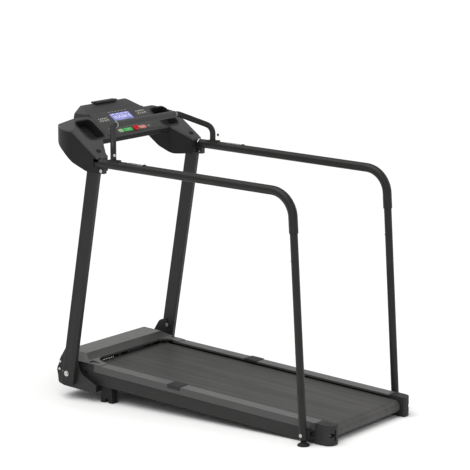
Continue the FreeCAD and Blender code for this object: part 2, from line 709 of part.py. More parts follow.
def crossBeam():
    w0, w1 = -RAIL_DEPTH - BEAM_H, -RAIL_DEPTH
    u0, u1 = BEAM_U - BEAM_W / 2, BEAM_U + BEAM_W / 2
    tube = box(-PLATE_X, PLATE_X, u0, u1, w0, w1)
    return tube.cut(box(-PLATE_X - 1, PLATE_X + 1, u0 + 2, u1 - 2, w0 + 2, w1 - 2))


def frontFoot():
    """Splayed moulded foot with an arch between its two toes."""
    mid = (FOOT_Y0 + FOOT_Y1) / 2
    tall = FOOT_TOP_Z
    points = [(FOOT_Y0, 0), (mid - 12, 0), (mid, 34), (mid + 12, 0), (FOOT_Y1, 0), (FOOT_Y1 - 8, tall),
              (FOOT_Y0 + 8, tall)]
    foot = sideSolid(points, [3, 3, 6, 3, 3, 0, 0], FOOT_X - FOOT_W / 2, FOOT_X + FOOT_W / 2)
    return foot.cut(onDeck(box(0, 400, 300, 600, -RAIL_DEPTH, 0)))


def upright():
    return uprightForm(0, 0).cut(uprightForm(UPRIGHT_WALL, 5))


def uprightForm(inset, extra):
    """Leaning rounded bar: the upright's outside, or its bore when inset."""
    z0, z1 = UPRIGHT_BOTTOM_Z - extra, UPRIGHT_TOP_Z + extra
    x0, x1 = UPRIGHT_X0 + inset, UPRIGHT_X0 + UPRIGHT_T - inset
    edge = UPRIGHT_DEPTH / math.cos(math.atan(UPRIGHT_LEAN))
    trim = inset

    def at(x, front, z):
        y = uprightFrontY(z) - (trim if front else edge - trim)
        return V(x, y, z)
    lower = outline([at(x0, False, z0), at(x1, False, z0), at(x1, True, z0), at(x0, True, z0)],
                    [max(4 - inset, 1.2)] * 4)
    rise = at(x0, True, z1) - at(x0, True, z0)
    return Part.Face(lower).extrude(rise)


def boltX(x0, length, y, z, radius, headR, headH, washer=0.0):
    """Button-head bolt pointing inward from x0 towards -X, with its washer."""
    pieces = [rodX(radius, x0 - length, x0, y, z), rodX(headR, x0 + washer, x0 + washer + headH, y, z)]
    if washer:
        pieces.append(rodX(headR * 1.5, x0, x0 + washer, y, z))
    body = fused(pieces)
    socket = rodX(radius * 0.5, x0 + washer + headH * 0.4, x0 + washer + headH + 1, y, z)
    return body.cut(socket)


UPRIGHT_BOLTS = ((612.0, 115.0),)      # through the upright from outside
HIDDEN_BOLTS = ((588.0, 205.0),)       # into the upright from inside the base plate
PLATE_BOLTS = ((664.0, 157.0), (668.0, 124.0))


def frameBolts():
    outerX = UPRIGHT_X0 + UPRIGHT_T
    plateX = PLATE_X + PLATE_T
    solids = [boltX(outerX, UPRIGHT_T + PLATE_T + 1, y, z, 6, 8, 4, 2) for y, z in UPRIGHT_BOLTS]
    solids += [hiddenBolt(y, z) for y, z in HIDDEN_BOLTS]
    solids += [boltX(plateX, PLATE_T + 1, y, z, 3, 5.5, 3) for y, z in PLATE_BOLTS]
    solids.append(wheelBolt())
    return solids


def hiddenBolt(y, z):
    head = rodX(8, PLATE_X - 5, PLATE_X, y, z)
    return fused([head, rodX(5, PLATE_X - 1, UPRIGHT_X0 + UPRIGHT_WALL + 6, y, z)])


def wheelBolt():
    inner = PLATE_X - 2 - WHEEL_T
    shank = rodX(WHEEL_BORE_R, inner - 2, PLATE_X + PLATE_T - 1, WHEEL_Y, WHEEL_Z)
    head = rodX(9, inner - 3 - RUN_GAP, inner - RUN_GAP, WHEEL_Y, WHEEL_Z)
    return fused([shank, head])


def transportWheel():
    x1 = PLATE_X - 2
    x0 = x1 - WHEEL_T
    tyre = rodX(WHEEL_R, x0, x1, WHEEL_Y, WHEEL_Z)
    rim = [e for e in tyre.Edges if abs(e.BoundBox.YLength - 2 * WHEEL_R) < 1]
    tyre = tyre.makeFillet(3, [e for e in rim if e.BoundBox.XLength < 0.01])
    for x in (x0, x1 - 3):
        tyre = tyre.cut(tubeX(WHEEL_R - 12, 13, x, x + 3, WHEEL_Y, WHEEL_Z))
    return tyre.cut(rodX(WHEEL_BORE_R + SHAFT_GAP, x0 - 1, x1 + 1, WHEEL_Y, WHEEL_Z))


uprightRight = upright()
bolts = frameBolts()
for bolt in bolts[:len(UPRIGHT_BOLTS) + len(HIDDEN_BOLTS)]:
    uprightRight = uprightRight.cut(bolt)
platedRight = basePlate()
for bolt in bolts:
    platedRight = platedRight.cut(bolt)

keep("base_plate_right", platedRight)
keep("base_plate_left", mirrored(platedRight))
keep("base_crossbeam", onDeck(crossBeam()))
keep("rubber_feet", group([frontFoot(), mirrored(frontFoot()), capPad(), mirrored(capPad())]))
keep("upright_right", uprightRight)
keep("upright_left", mirrored(uprightRight))
keep("frame_bolts", group(bolts + [mirrored(bolt) for bolt in bolts]))
keep("transport_wheel_right", transportWheel())
keep("transport_wheel_left", mirrored(transportWheel()))


# ---------------------------------------------------------------- handrails
def legY(z):
    return LEG_FOOT_Y + (BEND_Y - LEG_FOOT_Y) * z / BEND_Z


def uprightRearY(z):
    return uprightFrontY(z) - UPRIGHT_DEPTH / math.cos(math.atan(UPRIGHT_LEAN))


railFrontY = uprightRearY(RAIL_FRONT_Z) - 1.0


def handrail():
    points = [V(RAIL_X, railFrontY, RAIL_FRONT_Z), V(RAIL_X, BEND_Y, BEND_Z),
              V(RAIL_X, legY(LEG_JOINT_Z), LEG_JOINT_Z)]
    return tubeAlong(points, [0, BEND_R, 0], RAIL_R, TUBE_WALL)


def legRun(radius, z0, z1):
    start = V(RAIL_X, legY(z0), z0)
    rise = V(RAIL_X, legY(z1), z1) - start
    return Part.makeCylinder(radius, rise.Length, start, rise)


def railLeg():
    leg = legRun(LEG_R, LEG_BOTTOM_Z, LEG_JOINT_Z + LEG_OVERLAP)
    bore = legRun(LEG_R - TUBE_WALL, LEG_BOTTOM_Z + 8, LEG_JOINT_Z + LEG_OVERLAP + 5)
    stud = legRun(STUD_R + RUN_GAP, LEG_BOTTOM_Z - 5, LEG_BOTTOM_Z + 16)
    collar = legRun(RAIL_R - TUBE_WALL, LEG_JOINT_Z + 6, LEG_JOINT_Z + LEG_OVERLAP)
    return fused([leg, collar]).cut(bore).cut(stud)


def levellingFoot():
    """Rubber cone on a threaded stud that screws into the foot of the leg."""
    y = legY(FOOT_PAD_H)
    y0 = legY(0)
    pad = Part.makeCylinder(FOOT_PAD_R, 5, V(RAIL_X, y0, 0))
    cone = Part.makeCone(FOOT_PAD_R, LEG_R - 4, FOOT_PAD_H - 5, V(RAIL_X, y0, 5))
    neck = Part.makeCylinder(LEG_R - 5, LEG_BOTTOM_Z - FOOT_PAD_H - 3, V(RAIL_X, y, FOOT_PAD_H - 1))
    stud = legRun(STUD_R, FOOT_PAD_H, LEG_BOTTOM_Z + 14)
    return fused([pad, cone, neck, stud])


def legBracket():
    """Channel between the side rail and the leg, with a saddle for the tube."""
    y = legY(LEG_BOLT_Z)
    body = box(railX1, RAIL_X - 4, y - 20, y + 20, LEG_BOLT_Z - 13, LEG_BOLT_Z + 12)
    room = box(railX1 + 4, RAIL_X - 20, y - 21, y + 21, LEG_BOLT_Z - 9, LEG_BOLT_Z + 8)
    return body.cut(room).cut(legRun(LEG_R, 0, 140))


def consoleBracket():
    """Saddle under the front end of the handrail, fixed to the upright's rear face."""
    low = RAIL_FRONT_Z - 44
    block = box(UPRIGHT_X0 + 2, BRACKET_X1, railFrontY - 20, uprightRearY(low) + 6, low, RAIL_FRONT_Z - 11)
    start = V(RAIL_X, railFrontY, RAIL_FRONT_Z)
    heading = V(RAIL_X, BEND_Y, BEND_Z) - start
    rail = Part.makeCylinder(RAIL_R, 200, start, heading)
    rail = rail.fuse(Part.makeCylinder(RAIL_R, 60, start, heading * -1))
    return block.cut(rail).cut(uprightSolid)


def boltAt(x0, length, y, z):
    return boltX(x0, length, y, z, 4, 7, 4)


uprightSolid = uprightForm(0, 0)
legBolt = boltAt(RAIL_X + LEG_R - 1, 2 * LEG_R + 26, legY(LEG_BOLT_Z), LEG_BOLT_Z)
bracketBolt = boltAt(BRACKET_X1, 34 - RAIL_X - 13 + BRACKET_X1, railFrontY - 9, RAIL_FRONT_Z - 32)
legRight = railLeg().cut(legBolt)
legBracketRight = legBracket().cut(legBolt)
consoleBracketRight = consoleBracket().cut(bracketBolt)
keep("handrail_right", handrail())
keep("handrail_left", mirrored(handrail()))
keep("rail_leg_right", legRight)
keep("rail_leg_left", mirrored(legRight))
keep("levelling_foot_right", levellingFoot())
keep("levelling_foot_left", mirrored(levellingFoot()))
keep("rail_brackets", group([legBracketRight, mirrored(legBracketRight),
                             consoleBracketRight, mirrored(consoleBracketRight)]))
keep("handrail_bolts", group([legBolt, mirrored(legBolt), bracketBolt, mirrored(bracketBolt)]))


# ---------------------------------------------------------------- console
def consoleForm(inset):
    """Outer form of the console, or its inside when inset by the wall."""
    half = CONSOLE_HALF - inset
    front = FRONT_Y - inset
    rear = ARM_REAR_Y + inset
    angle = math.radians(SLOPE_ANGLE)
    drop = inset / math.cos(angle)
    top0 = (rear, slopeZ(rear) - drop)
    top1 = (SLOPE_TOP_Y, SLOPE_TOP_Z - drop * 1.1)
    top2 = (front, SLOPE_TOP_Z - FRONT_FALL - inset)
    armPoints = [(rear, 1003 + inset), (484, 1003 + inset), (560, 1034 + inset), (620, 1078 + inset),
                 (front, 1128 + inset), top2, top1, top0]
    arm = sideSolid(armPoints, [6, 60, 80, 80, 7, CREST_R, 40, 0], -half, half)
    centreRear = CENTRE_REAR_Y + inset
    centrePoints = [(centreRear, CENTRE_BOTTOM_Z + inset), (620, CENTRE_BOTTOM_Z + inset), (front, 1128 + inset),
                    top2, top1, (centreRear, slopeZ(centreRear) - drop)]
    centre = sideSolid(centrePoints, [8, 60, 7, CREST_R, 40, 0], -half, half)
    split = CENTRE_HALF + 40 + inset
    end = half - ARM_END_W + 2 * inset
    notch = planSolid([(-end, rear - 40), (end, rear - 40), (end, rear + 10), (split, centreRear),
                       (split, front + 40), (-split, front + 40), (-split, centreRear), (-end, rear + 10)],
                      [0, 0, 20, 40, 0, 0, 40, 20], 900, 1300)
    body = fused([arm.cut(notch), centre])
    edgeZ = SLOPE_TOP_Z + 2 - drop - (half + 5 - SHOULDER_X) * SHOULDER_FALL
    section = [V(-half - 5, 380, 900), V(half + 5, 380, 900), V(half + 5, 380, edgeZ),
               V(SHOULDER_X, 380, SLOPE_TOP_Z + 2 - drop), V(-SHOULDER_X, 380, SLOPE_TOP_Z + 2 - drop),
               V(-half - 5, 380, edgeZ)]
    body = body.common(Part.Face(outline(section, [0, 0, 0, 60, 60, 0])).extrude(V(0, 360, 0)))
    past = front + 0.8
    plan = planSolid([(-half, rear), (half, rear), (half, past), (-half, past)],
                     [4, 4, CONSOLE_CORNER_R - inset, CONSOLE_CORNER_R - inset], 900, 1300)
    return body.common(plan)


def lowered(shape, drop):
    """The form moved down: what lies above it is the cover, what lies in it the shell."""
    moved = shape.copy()
    moved.translate(V(0, 0, -drop))
    return moved


def trayCut(grow, depth):
    return onSlope(roundedPlate(TRAY_X0 - grow, TRAY_X1 + grow, TRAY_S0 - grow, TRAY_S1 + grow,
                                -depth, 30, TRAY_CORNER_R + grow))


KEYS = {                        # centre across, width
    "speed_down_key": (-86.0, 30.0),
    "start_key": (-38.0, 54.0),
    "stop_key": (62.0, 46.0),
    "speed_up_key": (104.0, 26.0),
}
SAFETY_X = 14.0
SAFETY_R = 10.0
safetyS = (KEY_S0 + KEY_S1) / 2


def keyCuts():
    cuts = []
    for x, width in KEYS.values():
        cuts.append(onSlope(roundedPlate(x - width / 2 - KEY_GAP, x + width / 2 + KEY_GAP, KEY_S0 - KEY_GAP,
                                         KEY_S1 + KEY_GAP, -30, 10, 4)))
    cuts.append(onSlope(Part.makeCylinder(SAFETY_R + RUN_GAP, 34, V(SAFETY_X, safetyS, -11))))
    return cuts


def softened(form):
    """Round the long side edges of the console's sloping top."""
    side = [V(-CONSOLE_HALF, -320, -260), V(CONSOLE_HALF, -320, -260),
            V(CONSOLE_HALF, -320, COVER_EASE), V(-CONSOLE_HALF, -320, COVER_EASE)]
    section = Part.Face(outline(side, [0, 0, COVER_ROUND, COVER_ROUND])).extrude(V(0, 460, 0))
    return form.common(onSlope(section))


outerForm = softened(consoleForm(0))
innerForm = consoleForm(CONSOLE_WALL)
shellForm = outerForm.cut(innerForm)
trays = [trayCut(FIT, 80), mirrored(trayCut(FIT, 80))]
panelBlock = onSlope(roundedPlate(-PANEL_HALF, PANEL_HALF, PANEL_S0, 0, -PANEL_T + PANEL_PROUD,
                                  PANEL_PROUD, 8))
uprightRoom = sideSolid([(uprightFrontY(z) + dy, z) for z, dy in
                         ((900, 1), (1052, 1), (1052, -64.5), (900, -64.5))], [0] * 4,
                        UPRIGHT_X0 - 1, UPRIGHT_X0 + UPRIGHT_T + 0.5)
railEnd = Part.makeCylinder(RAIL_R + 1, 60, V(RAIL_X, railFrontY - 30, RAIL_FRONT_Z), AXIS_Y)


def consoleCover():
    shape = shellForm.cut(lowered(outerForm, COVER_DEPTH))
    for cut in trays:
        shape = shape.cut(cut)
    shape = shape.cut(panelBlock)
    lcd = onSlope(box(-LCD_HALF - 4, LCD_HALF + 4, LCD_S0 - 4, LCD_S1 + 4, -20, 5))
    shape = shape.cut(lcd)
    for cut in keyCuts():
        shape = shape.cut(cut)
    for item in (uprightRoom, mirrored(uprightRoom), railEnd, mirrored(railEnd)):
        shape = shape.cut(item)
    return shape


def bracketRoom():
    low = RAIL_FRONT_Z - 44 - FIT
    return box(UPRIGHT_X0 + 2 - FIT, BRACKET_X1 + FIT, railFrontY - 30, uprightRearY(low) + 6 + FIT,
               low, RAIL_FRONT_Z)


def consoleShell():
    shape = shellForm.common(lowered(outerForm, COVER_DEPTH + JOINT_GAP))
    shape = shape.cut(bracketRoom()).cut(mirrored(bracketRoom()))
    trayRoom = trayCut(0.1, TRAY_DEPTH + 0.1)
    for item in (uprightRoom, mirrored(uprightRoom), railEnd, mirrored(railEnd), trayRoom, mirrored(trayRoom)):
        shape = shape.cut(item)
    return shape


def tray():
    rim = roundedPlate(TRAY_X0 - TRAY_RIM, TRAY_X1 + TRAY_RIM, TRAY_S0 - TRAY_RIM, TRAY_S1 + TRAY_RIM, 0, 2,
                       TRAY_CORNER_R + TRAY_RIM)
    cup = roundedPlate(TRAY_X0, TRAY_X1, TRAY_S0, TRAY_S1, -TRAY_DEPTH, 0, TRAY_CORNER_R)
    room = roundedPlate(TRAY_X0 + TRAY_WALL, TRAY_X1 - TRAY_WALL, TRAY_S0 + TRAY_WALL, TRAY_S1 - TRAY_WALL,
                        -TRAY_DEPTH + TRAY_WALL, 5, TRAY_CORNER_R - TRAY_WALL)
    return onSlope(fused([rim, cup]).cut(room))


def displayPanel():
    shape = panelBlock
    lcd = onSlope(box(-LCD_HALF, LCD_HALF, LCD_S0, LCD_S1, -10, 5))
    shape = shape.cut(lcd)
    for cut in keyCuts():
        shape = shape.cut(cut)
    return shape


def lcdScreen():
    return onSlope(box(-LCD_HALF + FIT, LCD_HALF - FIT, LCD_S0 + FIT, LCD_S1 - FIT, -LCD_T, PANEL_PROUD - 0.4))


def key(x, width):
    cap = roundedPlate(x - width / 2, x + width / 2, KEY_S0, KEY_S1, -KEY_H + 3, 3.0, 3.6)
    top = [e for e in cap.Edges if e.BoundBox.ZMin > 2.99]
    return onSlope(cap.makeFillet(1.0, top))


def safetyKey():
    plug = Part.makeCylinder(SAFETY_R, 9, V(SAFETY_X, safetyS, -7))
    head = Part.makeCylinder(SAFETY_R + 3, 4, V(SAFETY_X, safetyS, PANEL_PROUD + RUN_GAP))
    tab = box(SAFETY_X - 2.5, SAFETY_X + 2.5, safetyS - 9, safetyS + 9, PANEL_PROUD + 4, PANEL_PROUD + 14)
    return onSlope(fused([plug, head, tab]))


def consoleBoard():
    board = roundedPlate(-150, 150, -134, -8, BOARD_N, BOARD_N + 1.6, 3)
    posts = [Part.makeCylinder(4, -BOARD_N - CONSOLE_WALL - 2.4, V(x, s, BOARD_N + 1.6))
             for x in (-140, 140) for s in (-90, -42)]
    cradle = box(-LCD_HALF, LCD_HALF, LCD_S0, LCD_S1, BOARD_N + 1.6, -LCD_T)
    socket = Part.makeCylinder(SAFETY_R + 4, 6, V(SAFETY_X, safetyS, BOARD_N + 1.6))
    return onSlope(fused([board, cradle, socket] + posts))


def tabletRest():
    """Raised wedge behind the display that a tablet leans on."""
    top = SLOPE_TOP_Z - 2
    foot = SLOPE_TOP_Z - FRONT_FALL - 2
    points = [(SLOPE_TOP_Y + 2, SLOPE_TOP_Z - 16), (SLOPE_TOP_Y + 6, top), (REST_TOP_Y - 6, REST_TOP_Z),
              (REST_TOP_Y + 2, REST_TOP_Z), (FRONT_Y - 12, foot)]
    wedge = sideSolid(points, [0, 0, 2, 3, 0], -PANEL_HALF, PANEL_HALF)
    face = [V(-PANEL_HALF, 500, foot - 8), V(PANEL_HALF, 500, foot - 8), V(PANEL_HALF, 500, SLOPE_TOP_Z - 1),
            V(REST_HALF, 500, REST_TOP_Z + 1), V(-REST_HALF, 500, REST_TOP_Z + 1),
            V(-PANEL_HALF, 500, SLOPE_TOP_Z - 1)]
    mask = Part.Face(outline(face, [0, 0, 0, 26, 14, 0])).extrude(V(0, 300, 0))
    return wedge.common(mask)


# ---- the tablet rest and its jaw
CLIP_Y = REST_TOP_Y
CLIP_Z = REST_TOP_Z
CLIP_TRAVEL = 24.0


def clipJaw():
    jaw = box(-72, 72, CLIP_Y - 20, CLIP_Y + 8, CLIP_Z + 0.5, CLIP_Z + 8)
    nose = box(-72, 72, CLIP_Y - 20, CLIP_Y - 15, CLIP_Z - 3, CLIP_Z + 1)
    stems = [Part.makeCylinder(3, 32, V(x, CLIP_Y - 2, CLIP_Z - 31)) for x in (-50, 50)]
    return fused([jaw] + stems)


def restHoles():
    return [Part.makeCylinder(3 + RUN_GAP, 46, V(x, CLIP_Y - 2, CLIP_Z - 44)) for x in (-50, 50)]


coverShape = fused([consoleCover(), tabletRest().cut(innerForm)])
for hole in restHoles():
    coverShape = coverShape.cut(hole)
shellShape = consoleShell()
trayRight = tray()
keep("console_cover", coverShape)
keep("console_shell", shellShape)
keep("tray_right", trayRight)
keep("tray_left", mirrored(trayRight))
keep("display_panel", displayPanel())
keep("lcd_screen", lcdScreen())
keep("console_board", consoleBoard())
for name, (centre, width) in KEYS.items():
    keep(name, key(centre, width))
keep("safety_key", safetyKey())
keep("tablet_clip", clipJaw())


# ---------------------------------------------------------------- cross handlebar
def railTopZ(y):
    """Height of the handrail's centre line at y."""
    return BEND_Z + (RAIL_FRONT_Z - BEND_Z) * (y - BEND_Y) / (railFrontY - BEND_Y)


def handlebarPath():
    foot = V(RAIL_X, POST_Y, railTopZ(POST_Y) + RAIL_R - 1)
    elbow = V(RAIL_X, POST_Y, POST_ELBOW_Z)
    shoulder = V(BAR_HALF, BAR_Y, BAR_Z)
    def left(point):
        return V(-point.x, point.y, point.z)
    return [foot, elbow, shoulder, left(shoulder), left(elbow), left(foot)]


def handlebar():
    path = handlebarPath()
    bar = tubeAlong(path, [0, BAR_BEND_R, BAR_BEND_R, BAR_BEND_R, BAR_BEND_R, 0], BAR_R, TUBE_WALL)
    rail = Part.makeCylinder(RAIL_R, 400, V(RAIL_X, POST_Y - 200, railTopZ(POST_Y - 200)),
                             V(0, 400, railTopZ(POST_Y + 200) - railTopZ(POST_Y - 200)))
    z = railTopZ(POST_Y) + RAIL_R
    flange = box(RAIL_X - 15, RAIL_X + 15, POST_Y - 30, POST_Y + 22, z - 6, z + 2.5)
    flange = flange.cut(Part.makeCylinder(BAR_R - TUBE_WALL, 20, V(RAIL_X, POST_Y, z - 10)))
    bar = fused([bar, flange, mirrored(flange)])
    return bar.cut(rail).cut(mirrored(rail))


def foamGrip():
    reach = BAR_HALF - GRIP_INSET
    return tubeX(GRIP_R, BAR_R, -reach, reach, BAR_Y, BAR_Z)


keep("handlebar", handlebar())
keep("foam_grip", foamGrip())

# ---------------------------------------------------------------- write
os.makedirs("parts", exist_ok=True)
for name, shape in parts.items():
    if not shape.isValid():
        print("INVALID", name)
    if not shape.Solids:
        print("NO SOLID", name)
    shape.exportStep("parts/" + name + ".step")
print(len(parts), "nodes")
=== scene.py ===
# Walking treadmill with full-length side handrails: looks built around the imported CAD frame.
import json
import math

import bmesh
import bpy
from mathutils import Matrix, Vector
from mathutils.bvhtree import BVHTree


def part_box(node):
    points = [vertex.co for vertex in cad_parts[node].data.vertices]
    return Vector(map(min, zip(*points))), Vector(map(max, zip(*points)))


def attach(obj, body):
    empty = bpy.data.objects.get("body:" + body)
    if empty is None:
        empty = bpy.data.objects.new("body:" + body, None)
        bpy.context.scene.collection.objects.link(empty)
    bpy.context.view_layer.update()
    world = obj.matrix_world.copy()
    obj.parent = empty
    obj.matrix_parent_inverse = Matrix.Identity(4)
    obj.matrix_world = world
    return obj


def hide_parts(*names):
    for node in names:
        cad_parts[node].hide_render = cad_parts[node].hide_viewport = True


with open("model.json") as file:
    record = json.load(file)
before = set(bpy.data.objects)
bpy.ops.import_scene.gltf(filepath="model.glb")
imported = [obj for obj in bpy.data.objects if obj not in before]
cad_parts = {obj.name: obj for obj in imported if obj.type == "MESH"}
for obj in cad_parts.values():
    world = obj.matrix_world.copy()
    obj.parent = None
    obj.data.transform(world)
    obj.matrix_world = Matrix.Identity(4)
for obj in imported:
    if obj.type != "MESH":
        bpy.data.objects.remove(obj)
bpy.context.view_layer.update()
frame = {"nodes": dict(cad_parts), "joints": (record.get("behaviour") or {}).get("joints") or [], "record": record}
nodes = frame["nodes"]
joints = {joint["name"]: joint for joint in frame["joints"]}
print("frame:", len(nodes), "nodes")


# helpers for shader nodes

def addNode(tree, kind, values=None, **settings):
    node = tree.nodes.new(kind)
    for key, value in settings.items():
        setattr(node, key, value)
    for key, value in (values or {}).items():
        node.inputs[key].default_value = value
    return node


def join(tree, source, output, target, socket):
    tree.links.new(source.outputs[output], target.inputs[socket])


def newTree(name):
    material = bpy.data.materials.new(name)
    material.use_nodes = True
    tree = material.node_tree
    tree.nodes.clear()
    shader = addNode(tree, "ShaderNodeBsdfPrincipled")
    output = addNode(tree, "ShaderNodeOutputMaterial")
    join(tree, shader, "BSDF", output, "Surface")
    return material, tree, shader


def objectSpace(tree, stretch=(1, 1, 1), turn=(0, 0, 0)):
    coordinates = addNode(tree, "ShaderNodeTexCoord")
    mapping = addNode(tree, "ShaderNodeMapping", {"Scale": stretch, "Rotation": turn})
    join(tree, coordinates, "Object", mapping, "Vector")
    return mapping


def noise(tree, space, size, detail=3.0, rough=0.5):
    texture = addNode(tree, "ShaderNodeTexNoise", {"Scale": 1 / size, "Detail": detail, "Roughness": rough})
    join(tree, space, "Vector", texture, "Vector")
    return texture


def ramp(tree, source, output, low, high, start=0.35, end=0.65):
    # a number in start..end becomes low..high
    limits = {"From Min": start, "From Max": end, "To Min": low, "To Max": high}
    node = addNode(tree, "ShaderNodeMapRange", limits)
    join(tree, source, output, node, "Value")
    return node


# a color mix node's own sockets: its factor, its two colors and its result
mixFactor, mixFirst, mixSecond, mixResult = 0, 6, 7, 2


def setColor(tree, node, socket, color):
    # a fixed color, or another mix node's result
    if isinstance(color, tuple):
        node.inputs[socket].default_value = (*color, 1)
    else:
        join(tree, color, mixResult, node, socket)


def mixColors(tree, factor, output, first, second, blend="MIX"):
    node = addNode(tree, "ShaderNodeMix", data_type="RGBA", blend_type=blend)
    setColor(tree, node, mixFirst, first)
    setColor(tree, node, mixSecond, second)
    if factor:
        join(tree, factor, output, node, mixFactor)
    else:
        node.inputs[mixFactor].default_value = 1.0
    return node


def paint(tree, shader, color, *sockets):
    for socket in sockets or ("Base Color",):
        join(tree, color, mixResult, shader, socket)


def bump(tree, shader, height, output, depth, edge=0.0):
    node = addNode(tree, "ShaderNodeBump", {"Strength": 1.0, "Distance": depth})
    join(tree, height, output, node, "Height")
    if edge:
        soft = addNode(tree, "ShaderNodeBevel", {"Radius": edge}, samples=4)
        join(tree, soft, "Normal", node, "Normal")
    join(tree, node, "Normal", shader, "Normal")


def drive(tree, shader, source, output, socket, low, high, start=0.35, end=0.65):
    # a number in start..end sets a socket between low and high
    join(tree, ramp(tree, source, output, low, high, start, end), "Result", shader, socket)


# moulded, painted and rubber surfaces: slow tint drift, handling marks and a fine grain
def coated(name, look):
    material, tree, shader = newTree(name)
    space = objectSpace(tree, look.get("stretch", (1, 1, 1)))
    drift = noise(tree, space, look.get("driftSize", 0.09), 4, 0.6)
    factor = ramp(tree, drift, "Fac", 0, 1, 0.3, 0.7)
    color = mixColors(tree, factor, "Result", look["dark"], look["light"])
    if "edge" in look:
        # paint and plastic rub paler along their outer edges
        geometry = addNode(tree, "ShaderNodeNewGeometry")
        worn = ramp(tree, geometry, "Pointiness", 0, look["wear"], 0.53, 0.60)
        color = mixColors(tree, worn, "Result", color, look["edge"])
    if "top" in look:
        # faces that look straight up are painted paler: a painted highlight standing in for the backdrop's
        # reflection on the top faces, dimmer here and there by noise
        geometry = addNode(tree, "ShaderNodeNewGeometry")
        parts = addNode(tree, "ShaderNodeSeparateXYZ")
        join(tree, geometry, "Normal", parts, "Vector")
        topHighlightMask = ramp(tree, parts, "Z", 0, 1, 0.95, 0.99)
        paintedTopHighlight = mixColors(tree, noise(tree, space, 0.05, 4, 0.6), "Fac", look["topHighlightDull"], look["top"])
        color = mixColors(tree, topHighlightMask, "Result", color, paintedTopHighlight)
    paint(tree, shader, color)
    marks = noise(tree, space, 0.025, 5, 0.65)
    drive(tree, shader, marks, "Fac", "Roughness", *look["rough"], 0.3, 0.7)
    grain = noise(tree, objectSpace(tree), look["grain"], 2, 0.6)
    bump(tree, shader, grain, "Fac", look["depth"], look.get("round", 0.0012))
    shader.inputs["Specular IOR Level"].default_value = look.get("specular", 0.5)
    if "coat" in look:
        shader.inputs["Coat Weight"].default_value = look["coat"]
        shader.inputs["Coat Roughness"].default_value = 0.12
    return material


# bare metal: brushed or machined lines along one axis, with faint staining
def bareMetal(name, look):
    material, tree, shader = newTree(name)
    lines = noise(tree, objectSpace(tree, look["lines"]), look["grain"], 3, 0.6)
    stain = noise(tree, objectSpace(tree), 0.02, 4, 0.6)
    factor = ramp(tree, stain, "Fac", 0, 1, 0.35, 0.7)
    color = mixColors(tree, factor, "Result", look["dark"], look["light"])
    paint(tree, shader, color)
    drive(tree, shader, lines, "Fac", "Roughness", *look["rough"])
    bump(tree, shader, lines, "Fac", look["depth"], 0.0006)
    shader.inputs["Metallic"].default_value = 1.0
    return material


